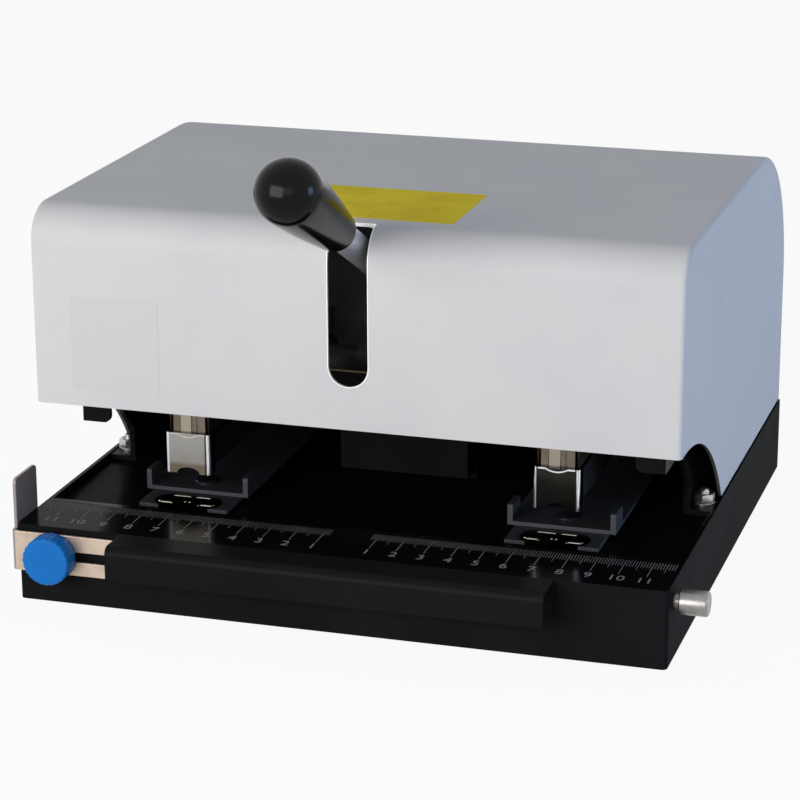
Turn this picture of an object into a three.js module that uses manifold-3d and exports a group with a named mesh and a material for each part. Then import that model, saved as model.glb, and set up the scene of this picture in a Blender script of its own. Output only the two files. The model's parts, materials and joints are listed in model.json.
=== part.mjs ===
// Double head stapler: one lever closes two stapling heads over a graduated ledge.
// Lengths are in millimetres. X runs to the right, Y to the back and Z up.
// The working origin is the middle of the base's front face, at the base's lower edge.
import * as THREE from "three";
import { mergeVertices } from "three/addons/utils/BufferGeometryUtils.js";
import Module from "manifold-3d";

const wasm = await Module();
wasm.setup();

// Clearances shared by the whole assembly
const runningFit = 0.1;
const slideGap = 0.3;
const cutPast = 5;
const weldTolerance = 1e-4;

// Base tray
const baseWidth = 240;
const baseDepth = 226;
const baseHeight = 28.9;
const baseSheet = 1.5;
const baseCornerRadius = 1.8;
const ledgeDepth = 29;
const floorDrop = 2.5;
const floorZ = baseHeight - floorDrop;
const baseInsideX = baseWidth / 2 - baseSheet;

// Pivot lines of the heads and the lever, set forward from the base's rear
const headPivotInset = 41;
const leverPivotAhead = 47.1;
const headPivotY = baseDepth - headPivotInset;
const leverPivotY = headPivotY - leverPivotAhead;

// Bottom plate and rubber feet
const bottomPlateSheet = 1.2;
const bottomPlateRaise = 1;
const footRadius = 9;
const footTipRadius = 7.5;
const footHeight = 3.5;
const footInset = 22;

// Cover over the front guide rail
const coverWidth = 160;
const coverReach = 15;
const coverFaceHeight = 12.3;
const coverSheet = 1.2;
const coverBendRadius = 3;
const coverHem = 2;

// Side guide: a slotted strip with a stop plate folded back at its left end
const stripHeight = 15;
const stripBelowTop = 1.9;
const stripBottomZ = baseHeight - stripBelowTop - stripHeight;
const stripSheet = 1.2;
const guideSlotWidth = 3.8;
const guideSlotAbove = 7.1;
const guideSlotEndMargin = 10;
const guideSlotSpare = 4.5;
const guideTravel = 80;
const clampInset = 15;
const steadyInset = 30;
const stopPlateReach = 19;
const stopPlateRise = 16.6;
const stopPlateTopZ = baseHeight + stopPlateRise;
const stopPlateFrontY = 0.6;
const stopPlateCornerRadius = 2;
const guideBendRadius = 2;
const guideSlotZ = stripBottomZ + guideSlotAbove;
const stripBackY = -(coverSheet + slideGap);
const stripFrontY = stripBackY - stripSheet;
const stopPlateInnerX = -(baseWidth / 2 + slideGap);
const stopPlateOuterX = stopPlateInnerX - stripSheet;
const clampX = clampInset - baseWidth / 2;
const steadyX = steadyInset - coverWidth / 2;
const guideSlotRightX = steadyX + guideTravel + guideSlotSpare;
const stripRightX = guideSlotRightX + guideSlotEndMargin;

// Clamp knob on its stud, and the pin that steadies the strip
const studRadius = guideSlotWidth / 2 - slideGap / 2;
const studCollarRadius = 4;
const rivetHeadRadius = 3.4;
const rivetHeadHeight = 1;
const knobRadius = 8.7;
const knobThickness = 7.8;
const knobFluteDepth = 0.45;
const knobFluteCount = 20;
const knobEdgeBevel = 0.9;
const knobBoreDepth = 5.5;
const steadyHeadRadius = 3.6;
const steadyHeadHeight = 1.2;

// Rivet that holds the cover's right end
const coverRivetInset = 14;
const coverRivetRadius = 1.6;
const coverRivetX = coverWidth / 2 - coverRivetInset;

// Turned thumb pin in the right wall
const sidePinY = 11;
const sidePinBelowTop = 7.4;
const sidePinZ = baseHeight - sidePinBelowTop;
const sidePinShankRadius = 2.4;
const sidePinNeckRadius = 3;
const sidePinNeckLength = 2;
const sidePinBodyRadius = 4.5;
const sidePinBodyLength = 10.2;
const sidePinBevel = 1;
const sidePinRingRadius = 4;
const sidePinRingWidth = 1.6;

// Hood
const hoodSideInset = 0.6;
const hoodSheet = 1.2;
const hoodFrontY = 20;
const hoodTopZ = 142;
const hoodFrontBottomZ = 69.1;
const hoodShoulderRadius = 13;
const hoodRearRadius = 60;
const hoodSeatGap = 0.8;
const archRadius = 87.7;
const archCentreBehindFront = 5.4;
const leftArchExtra = 5;
const leverSlotHalfWidth = 7.3;
const leverSlotEndClearance = 4.3;
const hoodHalfWidth = baseWidth / 2 - hoodSideInset;
const hoodInsideX = hoodHalfWidth - hoodSheet;
const hoodInnerTopZ = hoodTopZ - hoodSheet;
const hoodInnerRearY = baseDepth - hoodSheet;
const hoodBottomZ = baseHeight + hoodSeatGap;

// Hood screws in the back
const hoodScrewRadius = 2;
const hoodScrewHeadRadius = 3.6;
const hoodScrewHeadHeight = 1.6;
const hoodScrewLength = 7;
const hoodScrewLowZ = 46;
const hoodScrewRise = 26;

// Side frames that carry the hood
const frameSheet = 2;
const frameSideInset = 10;
const frameFrontY = 84;
const frameFrontLegHeight = 13.6;
const frameArmSlopeReach = 17.8;
const frameArmBottomZ = 56.5;
const frameArmHeight = 15.5;
const frameArmFrontY = 40;
const frameMastFrontY = 62;
const frameMastShoulderZ = 90;
const frameFootBackInset = 26;
const frameFootStep = 5.6;
const frameTabWidth = 10.8;
const frameTabRadius = 2.5;
const frameFlangeWidth = 12;
const frameTopBackInset = 66;
const frameBackCornerInset = 26;
const frameBackCornerZ = 120;
const frameRearFlangeTopZ = 80;
const frameRearFlangeBottomZ = 39;
const frameBoltFrontInset = 9;
const frameBoltRearInset = 12;
const frameHalfWidth = baseWidth / 2 - frameSideInset;
const frameFootBackY = baseDepth - frameFootBackInset;
const frameTopBackY = baseDepth - frameTopBackInset;
const frameBackCornerY = baseDepth - frameBackCornerInset;

// Hex fasteners with washers
const boltShankRadius = 1.9;
const boltHexAcross = 7;
const boltHexHeight = 3.4;
const boltWasherRadius = 4;
const boltWasherHeight = 0.8;
const boltTipHeight = 1.6;
const boltBelowFloor = 3;

// Lever bracket
const bracketHalfWidth = 25;
const bracketSheet = 2;
const bracketFrontReach = 50.9;
const bracketFrontBottomZ = 31;
const bracketFrontTopZ = 52;
const bracketCrestHalfWidth = 34;
const bracketCrestTopZ = 69.6;
const bracketFootReach = 36.9;
const bracketBackReach = 27.1;
const bracketRiserSetback = 11;
const bracketRiserBevel = 3;
const bracketFootWidth = 10;
const bracketBoltFrontInset = 10;
const bracketBoltRearInset = 10;
const bracketFrontY = leverPivotY - bracketFrontReach;
const bracketFootFrontY = leverPivotY - bracketFootReach;
const bracketBackY = leverPivotY + bracketBackReach;

// Anvil plates and channels
const headCentreX = 70;
const anvilPlateHalfWidth = 17.3;
const anvilPlateFrontY = 36.3;
const anvilPlateSheet = 1.5;
const channelHalfWidth = 20.1;
const channelFrontY = 51.5;
const channelPastPivot = 13;
const channelSheet = 1.5;
const earSheet = 2;
const earLength = 11;
const earHeight = 6.3;
const earCornerRadius = 1.2;
const channelBackY = headPivotY + channelPastPivot;
const channelBottomZ = floorZ + anvilPlateSheet;
const channelTopZ = channelBottomZ + channelSheet;

// Clinch plate
const clinchHalfWidth = 12.7;
const clinchHalfDepth = 8.7;
const clinchCentreY = 42.3;
const clinchProud = 0.3;
const clinchGrooveDepth = 0.6;
const clinchGrooveRadius = 1.1;
const clinchGrooveLength = 4.6;
const clinchInnerGrooveX = 3.6;
const clinchOuterGrooveX = 6.4;
const clinchRowOffset = 3.6;
const clinchTopZ = channelBottomZ + clinchProud;

// Anvil screw
const anvilScrewSetback = 10.5;
const anvilScrewHeadRadius = 4.5;
const anvilScrewHeadHeight = 0.9;
const anvilScrewY = channelFrontY + anvilScrewSetback;

// Stapling heads
const capFrontY = 43;
const capBottomAboveClinch = 10.3;
const capHeight = 15.5;
const capHalfWidth = 8.5;
const capPlateSheet = 0.8;
const capWrapSheet = 0.6;
const capWrapDepth = 5;
const capCornerRadius = 1;
const capNotchHalfWidth = 4.4;
const capNotchHeight = 2.4;
const bladeWayDepth = 1.9;
const bladeHalfWidth = 6.2;
const bladeSheet = 0.5;
const bladeSetback = 1.1;
const bladeTipRise = 10.3;
const magazineHalfWidth = 7;
const magazineSheet = 0.5;
const magazineFloorSheet = 0.6;
const magazineWallHeight = 11.6;
const magazineFrontGap = 0.4;
const magazineRearPast = 7;
const trayFloorSheet = 0.6;
const railHalfWidth = 5.6;
const railSheet = 0.6;
const railTopRise = 8.2;
const railLength = 94;
const followerSheet = 0.4;
const followerLength = 11.5;
const followerFrontGap = 0.9;
const followerTopSheet = 1.1;
const driverSheet = 0.6;
const driverTopSheet = 0.8;
const driverTopRise = 9;
const driverFrontPlateRise = 3.9;
const driverRearPast = 8;
const driverLugFrontReach = 25;
const driverLugRadius = 7.5;
const headPivotRise = 4.6;
const headPinRadius = 2.5;
const headPinHeadRadius = 3.7;
const headPinHeadWidth = 1;
const pinCheekSheet = 1.5;
const pinCheekReach = 13;
const pinCheekRadius = 9;
const capBottomZ = clinchTopZ + capBottomAboveClinch;
const capTopZ = capBottomZ + capHeight;
const trayFloorTopZ = capBottomZ + trayFloorSheet;
const magazineBottomZ = trayFloorTopZ + slideGap;
const magazineFloorTopZ = magazineBottomZ + magazineFloorSheet;
const railFrontY = capFrontY + capPlateSheet + bladeWayDepth;
const bladeFrontY = capFrontY + capPlateSheet + bladeSetback;
const bladeTipZ = capBottomZ + bladeTipRise;
const railTopZ = capBottomZ + railTopRise;
const driverTopZ = capTopZ + driverTopRise;
const driverOuterX = magazineHalfWidth + runningFit + driverSheet;
const headPivotZ = magazineBottomZ + headPivotRise;
const pinCheekInnerX = driverOuterX + slideGap;
const pinCheekOuterX = pinCheekInnerX + pinCheekSheet;

// Return spring under each magazine
const springWireRadius = 0.5;
const springMeanRadius = 4;
const springAhead = 45;
const springTurns = 4;
const springSeatGap = 0.05;
const springY = headPivotY - springAhead;
const springStepsPerTurn = 8;
const springWireSides = 5;

// Lever and its crank
const leverRestDegrees = 27.1;
const leverTravelDegrees = 20.7;
const leverLineDrop = 7.45;
const crankRadius = 36;
const crankRestDegrees = 30;
const pressBarRadius = 5;
const pressBarGap = 0.3;
const pressBarOverhang = 8;
const pressBarBevel = 1;
const shaftRadius = 5;
const shaftHeadRadius = 7;
const shaftHeadWidth = 1.5;
const hubRadius = 13;
const hubBossRadius = 7.5;
const hubBossReach = 24;
const hubRodSeat = 12;
const armSheet = 4;
const armRadius = 8.5;
const armSideGap = 0.5;
const rodRadius = 5.2;
const gripStart = 132.7;
const gripLength = 62.8;
const gripNeckRadius = 6.9;
const gripNeckRounding = 1;
const gripEndRadius = 11.5;
const gripBoreDepth = 50;
const crankDrop = crankRadius * Math.sin(THREE.MathUtils.degToRad(crankRestDegrees));
const crankReach = crankRadius * Math.cos(THREE.MathUtils.degToRad(crankRestDegrees));
const leverPivotZ = driverTopZ + pressBarGap + pressBarRadius + crankDrop;
const armOuterX = bracketHalfWidth - bracketSheet - armSideGap;
const armInnerX = armOuterX - armSheet;

// Facet counts for round work
const roundSides = 28;
const smallSides = 16;
const bendSteps = 4;
const archSteps = 14;
const rearBendSteps = 10;
const gripDomeSteps = 6;

const finishes = {
  blackPaint: { color: 0x1b1c1f, roughness: 0.35, metalness: 0.1 },
  greyPaint: { color: 0x3b4048, roughness: 0.45, metalness: 0.25 },
  silverPaint: { color: 0xc4c6ca, roughness: 0.4, metalness: 0.3 },
  brushedSteel: { color: 0xbcb0a2, roughness: 0.32, metalness: 0.9 },
  zincSteel: { color: 0xb4b6b2, roughness: 0.35, metalness: 0.9 },
  darkSteel: { color: 0x55585c, roughness: 0.4, metalness: 0.85 },
  chrome: { color: 0xe0e2e4, roughness: 0.1, metalness: 1 },
  nickel: { color: 0xc9c0b2, roughness: 0.25, metalness: 0.95 },
  bluePlastic: { color: 0x1c73c3, roughness: 0.35, metalness: 0 },
  blackPlastic: { color: 0x121213, roughness: 0.2, metalness: 0 },
  blackRubber: { color: 0x1a1a1a, roughness: 0.9, metalness: 0 },
  springSteel: { color: 0x8d9094, roughness: 0.3, metalness: 0.9 },
};

// Points along an arc in a plane, angles in radians
function arcPoints(centreA, centreB, radius, start, end, steps) {
  const points = [];
  for (let step = 0; step <= steps; step += 1) {
    const angle = start + ((end - start) * step) / steps;
    points.push([centreA + radius * Math.cos(angle), centreB + radius * Math.sin(angle)]);
  }
  return points;
}

// A polygon whose corners may carry a radius as a third number
function filleted(corners, steps = bendSteps) {
  const points = [];
  corners.forEach(([a, b, radius], index) => {
    if (!radius) {
      points.push([a, b]);
      return;
    }
    const before = corners[(index + corners.length - 1) % corners.length];
    const after = corners[(index + 1) % corners.length];
    const here = new THREE.Vector2(a, b);
    const toBefore = new THREE.Vector2(before[0], before[1]).sub(here).normalize();
    const toAfter = new THREE.Vector2(after[0], after[1]).sub(here).normalize();
    const half = Math.acos(toBefore.dot(toAfter)) / 2;
    const centre = toBefore.clone().add(toAfter).normalize();
    centre.multiplyScalar(radius / Math.sin(half)).add(here);
    const tangent = radius / Math.tan(half);
    const start = toBefore.multiplyScalar(tangent).add(here).sub(centre).angle();
    const end = toAfter.multiplyScalar(tangent).add(here).sub(centre).angle();
    const turn = Math.atan2(Math.sin(end - start), Math.cos(end - start));
    points.push(...arcPoints(centre.x, centre.y, radius, start, start + turn, steps));
  });
  return points;
}

function rectangle(lowA, lowB, highA, highB, radius = 0) {
  return filleted([
    [lowA, lowB, radius],
    [highA, lowB, radius],
    [highA, highB, radius],
    [lowA, highB, radius],
  ]);
}

function circle(centreA, centreB, radius, sides = roundSides) {
  return arcPoints(centreA, centreB, radius, 0, 2 * Math.PI, sides).slice(0, sides);
}

function ellipse(centreA, centreB, halfA, halfB, sides = roundSides) {
  return circle(0, 0, 1, sides).map(([a, b]) => [centreA + a * halfA, centreB + b * halfB]);
}

// A bar with round ends from one point to another
function capsule(startA, startB, endA, endB, radius, steps = smallSides / 2) {
  const heading = Math.atan2(endB - startB, endA - startA);
  const quarter = Math.PI / 2;
  return [
    ...arcPoints(endA, endB, radius, heading - quarter, heading + quarter, steps),
    ...arcPoints(startA, startB, radius, heading + quarter, heading + 3 * quarter, steps),
  ];
}

function shapeOf(points) {
  return new THREE.Shape(points.map(([a, b]) => new THREE.Vector2(a, b)));
}

function signedVolume(position, index) {
  const corners = [new THREE.Vector3(), new THREE.Vector3(), new THREE.Vector3()];
  let volume = 0;
  for (let first = 0; first < index.length; first += 3) {
    corners.forEach((corner, step) => corner.fromBufferAttribute(position, index[first + step]));
    volume += corners[0].dot(corners[1].cross(corners[2])) / 6;
  }
  return volume;
}

// A closed geometry as a solid that can be joined and cut
function solid(geometry) {
  geometry.deleteAttribute("normal");
  geometry.deleteAttribute("uv");
  const merged = mergeVertices(geometry, weldTolerance);
  const kept = [];
  const all = merged.index.array;
  for (let first = 0; first < all.length; first += 3) {
    const [one, two, three] = all.subarray(first, first + 3);
    if (one !== two && two !== three && three !== one) {
      kept.push(one, two, three);
    }
  }
  if (signedVolume(merged.attributes.position, kept) < 0) {
    kept.reverse();
  }
  const mesh = new wasm.Mesh({
    numProp: 3,
    vertProperties: new Float32Array(merged.attributes.position.array),
    triVerts: new Uint32Array(kept),
  });
  return new wasm.Manifold(mesh);
}

// A profile drawn out along x (points are y, z), y (points are x, z) or z (points are x, y)
function prism(axis, from, to, points) {
  const low = Math.min(from, to);
  const depth = Math.abs(to - from);
  const geometry = new THREE.ExtrudeGeometry(shapeOf(points), { depth, bevelEnabled: false });
  if (axis === "x") {
    geometry.rotateZ(Math.PI / 2).rotateY(Math.PI / 2);
    geometry.translate(low, 0, 0);
  } else if (axis === "y") {
    geometry.rotateX(Math.PI / 2);
    geometry.translate(0, low + depth, 0);
  } else {
    geometry.translate(0, 0, low);
  }
  return solid(geometry);
}

function block(lowX, highX, lowY, highY, lowZ, highZ) {
  return prism("z", lowZ, highZ, rectangle(lowX, lowY, highX, highY));
}

// A turned solid: the profile holds radius and distance along the axis
function turned(axis, profile, centre = [0, 0, 0], sides = roundSides) {
  const points = profile.map(([radius, distance]) => new THREE.Vector2(radius, distance));
  const geometry = new THREE.LatheGeometry(points, sides);
  if (axis === "x") {
    geometry.rotateZ(-Math.PI / 2);
  } else if (axis === "z") {
    geometry.rotateX(Math.PI / 2);
  }
  geometry.translate(...centre);
  return solid(geometry);
}

function rod(axis, radius, from, to, centre = [0, 0, 0], sides = roundSides) {
  const profile = [[0, from], [radius, from], [radius, to], [0, to]];
  return turned(axis, profile, centre, sides);
}

function joined(first, ...others) {
  return others.reduce((sum, other) => sum.add(other), first);
}

function cutFrom(body, ...tools) {
  return tools.reduce((rest, tool) => rest.subtract(tool), body);
}

function piece(name, body, finish) {
  const cutMesh = body.getMesh();
  const geometry = new THREE.BufferGeometry();
  const position = new THREE.Float32BufferAttribute(cutMesh.vertProperties, 3);
  geometry.setAttribute("position", position);
  geometry.setIndex(new THREE.Uint32BufferAttribute(cutMesh.triVerts, 1));
  geometry.computeVertexNormals();
  const mesh = new THREE.Mesh(geometry, new THREE.MeshStandardMaterial(finishes[finish]));
  mesh.name = name;
  return mesh;
}

// Places of the fasteners that go through the floor
const frameBoltX = (frameHalfWidth + baseInsideX - slideGap) / 2;
const frameBoltYs = [frameFrontY + frameBoltFrontInset, frameFootBackY - frameBoltRearInset];
const bracketBoltX = bracketHalfWidth - bracketSheet - bracketFootWidth / 2;
const bracketBoltYs = [
  bracketFootFrontY + bracketBoltFrontInset,
  bracketBackY - bracketBoltRearInset,
];
const hoodScrewZs = [hoodScrewLowZ, hoodScrewLowZ + hoodScrewRise];
const hoodScrewX = frameHalfWidth - frameFlangeWidth / 2;

function floorHoles() {
  const holes = [];
  const addHole = (x, y) => {
    holes.push(rod("z", boltShankRadius + runningFit, 0, baseHeight, [x, y, 0], smallSides));
  };
  for (const side of [-1, 1]) {
    frameBoltYs.forEach((y) => addHole(side * frameBoltX, y));
    bracketBoltYs.forEach((y) => addHole(side * bracketBoltX, y));
    addHole(side * headCentreX, anvilScrewY);
  }
  return holes;
}

function basePan() {
  const outline = rectangle(-baseWidth / 2, 0, baseWidth / 2, baseDepth, baseCornerRadius);
  const wallInsideY = baseDepth - baseSheet;
  const studHoleRadius = studRadius + runningFit;
  return cutFrom(
    prism("z", 0, baseHeight, outline),
    block(-baseInsideX, baseInsideX, baseSheet, wallInsideY, -cutPast, floorZ - baseSheet),
    block(
      -baseInsideX, baseInsideX, baseSheet, ledgeDepth - baseSheet,
      -cutPast, baseHeight - baseSheet,
    ),
    block(-baseInsideX, baseInsideX, ledgeDepth, wallInsideY, floorZ, baseHeight + cutPast),
    rod("y", studHoleRadius, -cutPast, cutPast, [clampX, 0, guideSlotZ], smallSides),
    rod("y", studHoleRadius, -cutPast, cutPast, [steadyX, 0, guideSlotZ], smallSides),
    rod(
      "y", coverRivetRadius + runningFit, -cutPast, cutPast,
      [coverRivetX, 0, guideSlotZ], smallSides,
    ),
    rod(
      "x", sidePinShankRadius + runningFit, baseInsideX - cutPast,
      baseWidth / 2 + cutPast, [0, sidePinY, sidePinZ], smallSides,
    ),
    ...floorHoles(),
  );
}

function bottomPlate() {
  const reach = baseInsideX - slideGap;
  const low = baseSheet + slideGap;
  const outline = rectangle(-reach, low, reach, baseDepth - low);
  return prism("z", bottomPlateRaise, bottomPlateRaise + bottomPlateSheet, outline);
}

function foot() {
  return turned("z", [[0, -footHeight], [footTipRadius, -footHeight], [footRadius, 0], [0, 0]]);
}

function frontRailCover() {
  const bottom = baseHeight - coverFaceHeight;
  const innerTop = baseHeight - coverSheet;
  const innerRadius = coverBendRadius - coverSheet;
  const profile = filleted([
    [0, bottom],
    [0, baseHeight],
    [-coverReach, baseHeight, coverBendRadius],
    [-coverReach, bottom],
    [-coverReach + 2 * coverSheet, bottom],
    [-coverReach + 2 * coverSheet, bottom + coverHem],
    [-coverReach + coverSheet, bottom + coverHem],
    [-coverReach + coverSheet, innerTop, innerRadius],
    [-coverSheet, innerTop],
    [-coverSheet, bottom],
  ]);
  const places = [[steadyX, studRadius], [coverRivetX, coverRivetRadius]];
  const holes = places.map(([x, radius]) => rod(
    "y", radius + runningFit, -coverSheet - cutPast / 2, cutPast,
    [x, 0, guideSlotZ], smallSides,
  ));
  return cutFrom(prism("x", -coverWidth / 2, coverWidth / 2, profile), ...holes);
}

function sideGuide() {
  const stripTop = stripBottomZ + stripHeight;
  const innerRadius = guideBendRadius - stripSheet;
  const plan = filleted([
    [stripRightX, stripFrontY],
    [stripRightX, stripBackY],
    [stopPlateInnerX, stripBackY, innerRadius],
    [stopPlateInnerX, stopPlateReach],
    [stopPlateOuterX, stopPlateReach],
    [stopPlateOuterX, stripFrontY, guideBendRadius],
  ]);
  const sideView = filleted([
    [stripFrontY - cutPast, stripBottomZ - cutPast],
    [stopPlateReach + cutPast, stripBottomZ - cutPast],
    [stopPlateReach, stripBottomZ + stripHeight / 2],
    [stopPlateReach, stopPlateTopZ, stopPlateCornerRadius],
    [stopPlateFrontY, stopPlateTopZ, stopPlateCornerRadius],
    [stopPlateFrontY, stripTop],
    [stripFrontY - cutPast, stripTop],
  ]);
  const slotStart = clampX - guideSlotWidth / 2;
  const slotRadius = guideSlotWidth / 2;
  const slot = capsule(slotStart, guideSlotZ, guideSlotRightX, guideSlotZ, slotRadius);
  const silhouette = prism("x", stopPlateOuterX - cutPast, stripRightX + cutPast, sideView);
  return cutFrom(
    prism("z", stripBottomZ, stopPlateTopZ, plan).intersect(silhouette),
    prism("y", stripFrontY - cutPast, stripBackY + slideGap, slot),
  );
}

function clampStud() {
  const tip = stripFrontY - slideGap - knobBoreDepth + runningFit;
  const inside = baseSheet + rivetHeadHeight;
  return turned("y", [
    [0, tip], [studRadius, tip], [studRadius, -coverSheet], [studCollarRadius, -coverSheet],
    [studCollarRadius, 0], [studRadius, 0], [studRadius, baseSheet],
    [rivetHeadRadius, baseSheet], [rivetHeadRadius, inside], [0, inside],
  ], [clampX, 0, guideSlotZ], smallSides);
}

function steadyPin() {
  const headBack = stripFrontY - slideGap;
  const headFront = headBack - steadyHeadHeight;
  const inside = baseSheet + rivetHeadHeight;
  return turned("y", [
    [0, headFront], [steadyHeadRadius, headFront], [steadyHeadRadius, headBack],
    [studRadius, headBack], [studRadius, baseSheet],
    [rivetHeadRadius, baseSheet], [rivetHeadRadius, inside], [0, inside],
  ], [steadyX, 0, guideSlotZ], smallSides);
}

function coverRivet() {
  const front = -coverSheet - rivetHeadHeight;
  const inside = baseSheet + rivetHeadHeight;
  return turned("y", [
    [0, front], [rivetHeadRadius, front], [rivetHeadRadius, -coverSheet],
    [coverRivetRadius, -coverSheet], [coverRivetRadius, baseSheet],
    [rivetHeadRadius, baseSheet], [rivetHeadRadius, inside], [0, inside],
  ], [coverRivetX, 0, guideSlotZ], smallSides);
}

function clampKnob() {
  const back = stripFrontY - slideGap;
  const front = back - knobThickness;
  const flutes = [];
  for (let index = 0; index < 4 * knobFluteCount; index += 1) {
    const angle = (index * Math.PI) / (2 * knobFluteCount);
    const radius = index % 4 < 2 ? knobRadius : knobRadius - knobFluteDepth;
    flutes.push([radius * Math.cos(angle), radius * Math.sin(angle)]);
  }
  const envelope = turned("y", [
    [0, front], [knobRadius - knobEdgeBevel, front], [knobRadius, front + knobEdgeBevel],
    [knobRadius, back], [0, back],
  ]);
  const bore = rod("y", studRadius + runningFit, back - knobBoreDepth, back + cutPast);
  return cutFrom(prism("y", front, back, flutes).intersect(envelope), bore);
}

function sidePin() {
  const neckStart = baseWidth / 2 + slideGap;
  const bodyStart = baseWidth / 2 + sidePinNeckLength;
  const end = bodyStart + sidePinBodyLength;
  const ringOuter = baseInsideX - slideGap;
  const ringInner = ringOuter - sidePinRingWidth;
  return turned("x", [
    [0, ringInner], [sidePinRingRadius, ringInner], [sidePinRingRadius, ringOuter],
    [sidePinShankRadius, ringOuter], [sidePinShankRadius, neckStart],
    [sidePinNeckRadius, neckStart], [sidePinNeckRadius, bodyStart],
    [sidePinBodyRadius - sidePinBevel / 2, bodyStart],
    [sidePinBodyRadius, bodyStart + sidePinBevel / 2],
    [sidePinBodyRadius, end - sidePinBevel], [sidePinBodyRadius - sidePinBevel, end], [0, end],
  ], [0, sidePinY, sidePinZ]);
}

// The hood's side view; inset is how far the skin lies inside the outer face
function hoodProfile(inset, archExtra, bottomZ) {
  const front = hoodFrontY + inset;
  const top = hoodTopZ - inset;
  const rear = baseDepth - inset;
  const shoulder = hoodShoulderRadius - inset;
  const rearBend = hoodRearRadius - inset;
  const quarter = Math.PI / 2;
  const archY = hoodFrontY + archCentreBehindFront + archExtra;
  const archZ = hoodFrontBottomZ - Math.sqrt(archRadius ** 2 - (archY - hoodFrontY) ** 2);
  const archEnd = Math.asin((hoodBottomZ - archZ) / archRadius);
  const archStart = Math.PI - Math.asin((hoodFrontBottomZ - archZ) / archRadius);
  const upper = [
    ...arcPoints(rear - rearBend, top - rearBend, rearBend, 0, quarter, rearBendSteps),
    ...arcPoints(front + shoulder, top - shoulder, shoulder, quarter, 2 * quarter, bendSteps * 2),
  ];
  if (bottomZ < hoodBottomZ) {
    return [[front, bottomZ], [rear, bottomZ], ...upper];
  }
  const arch = arcPoints(archY, archZ, archRadius, archStart, archEnd, archSteps);
  return [...arch, [rear, hoodBottomZ], ...upper];
}

// The lever's slot runs from its lowest place up over the shoulder
function leverSlot() {
  const rest = THREE.MathUtils.degToRad(leverRestDegrees);
  const lowest = THREE.MathUtils.degToRad(leverRestDegrees - leverTravelDegrees);
  const lineLowZ = leverPivotZ - leverLineDrop / Math.cos(lowest);
  const lowZ = lineLowZ + (leverPivotY - hoodFrontY) * Math.tan(lowest);
  const rodTopRise = hoodInnerTopZ - leverPivotZ - (rodRadius - leverLineDrop) / Math.cos(rest);
  const endY = leverPivotY - rodTopRise / Math.tan(rest) + leverSlotEndClearance;
  const half = leverSlotHalfWidth;
  const outline = [
    ...arcPoints(0, lowZ, half, Math.PI, 2 * Math.PI, smallSides / 2),
    [half, hoodTopZ + cutPast],
    [-half, hoodTopZ + cutPast],
  ];
  return prism("y", hoodFrontY - cutPast, endY, outline);
}

// One sheet bent over the front, the top and the back
function hoodWrap() {
  const outside = prism("x", -hoodInsideX, hoodInsideX, hoodProfile(0, 0, hoodBottomZ));
  const inside = prism("x", -hoodHalfWidth, hoodHalfWidth, hoodProfile(hoodSheet, 0, -cutPast));
  const holes = [];
  for (const side of [-1, 1]) {
    for (const z of hoodScrewZs) {
      const centre = [side * hoodScrewX, hoodInnerRearY, z];
      holes.push(rod("y", hoodScrewRadius + runningFit, -cutPast, cutPast, centre, smallSides));
    }
  }
  return cutFrom(outside, inside, leverSlot(), ...holes);
}

// A flat panel closes each side of the wrap
function hoodPanel(side) {
  const archExtra = side < 0 ? leftArchExtra : 0;
  const profile = hoodProfile(0, archExtra, hoodBottomZ);
  return prism("x", side * hoodInsideX, side * hoodHalfWidth, profile);
}

function hoodScrew() {
  return turned("y", [
    [0, -hoodScrewLength], [hoodScrewRadius, -hoodScrewLength], [hoodScrewRadius, 0],
    [hoodScrewHeadRadius, 0], [hoodScrewHeadRadius, hoodScrewHeadHeight / 2],
    [hoodScrewHeadRadius / 2, hoodScrewHeadHeight], [0, hoodScrewHeadHeight],
  ], [0, 0, 0], smallSides);
}

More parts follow.
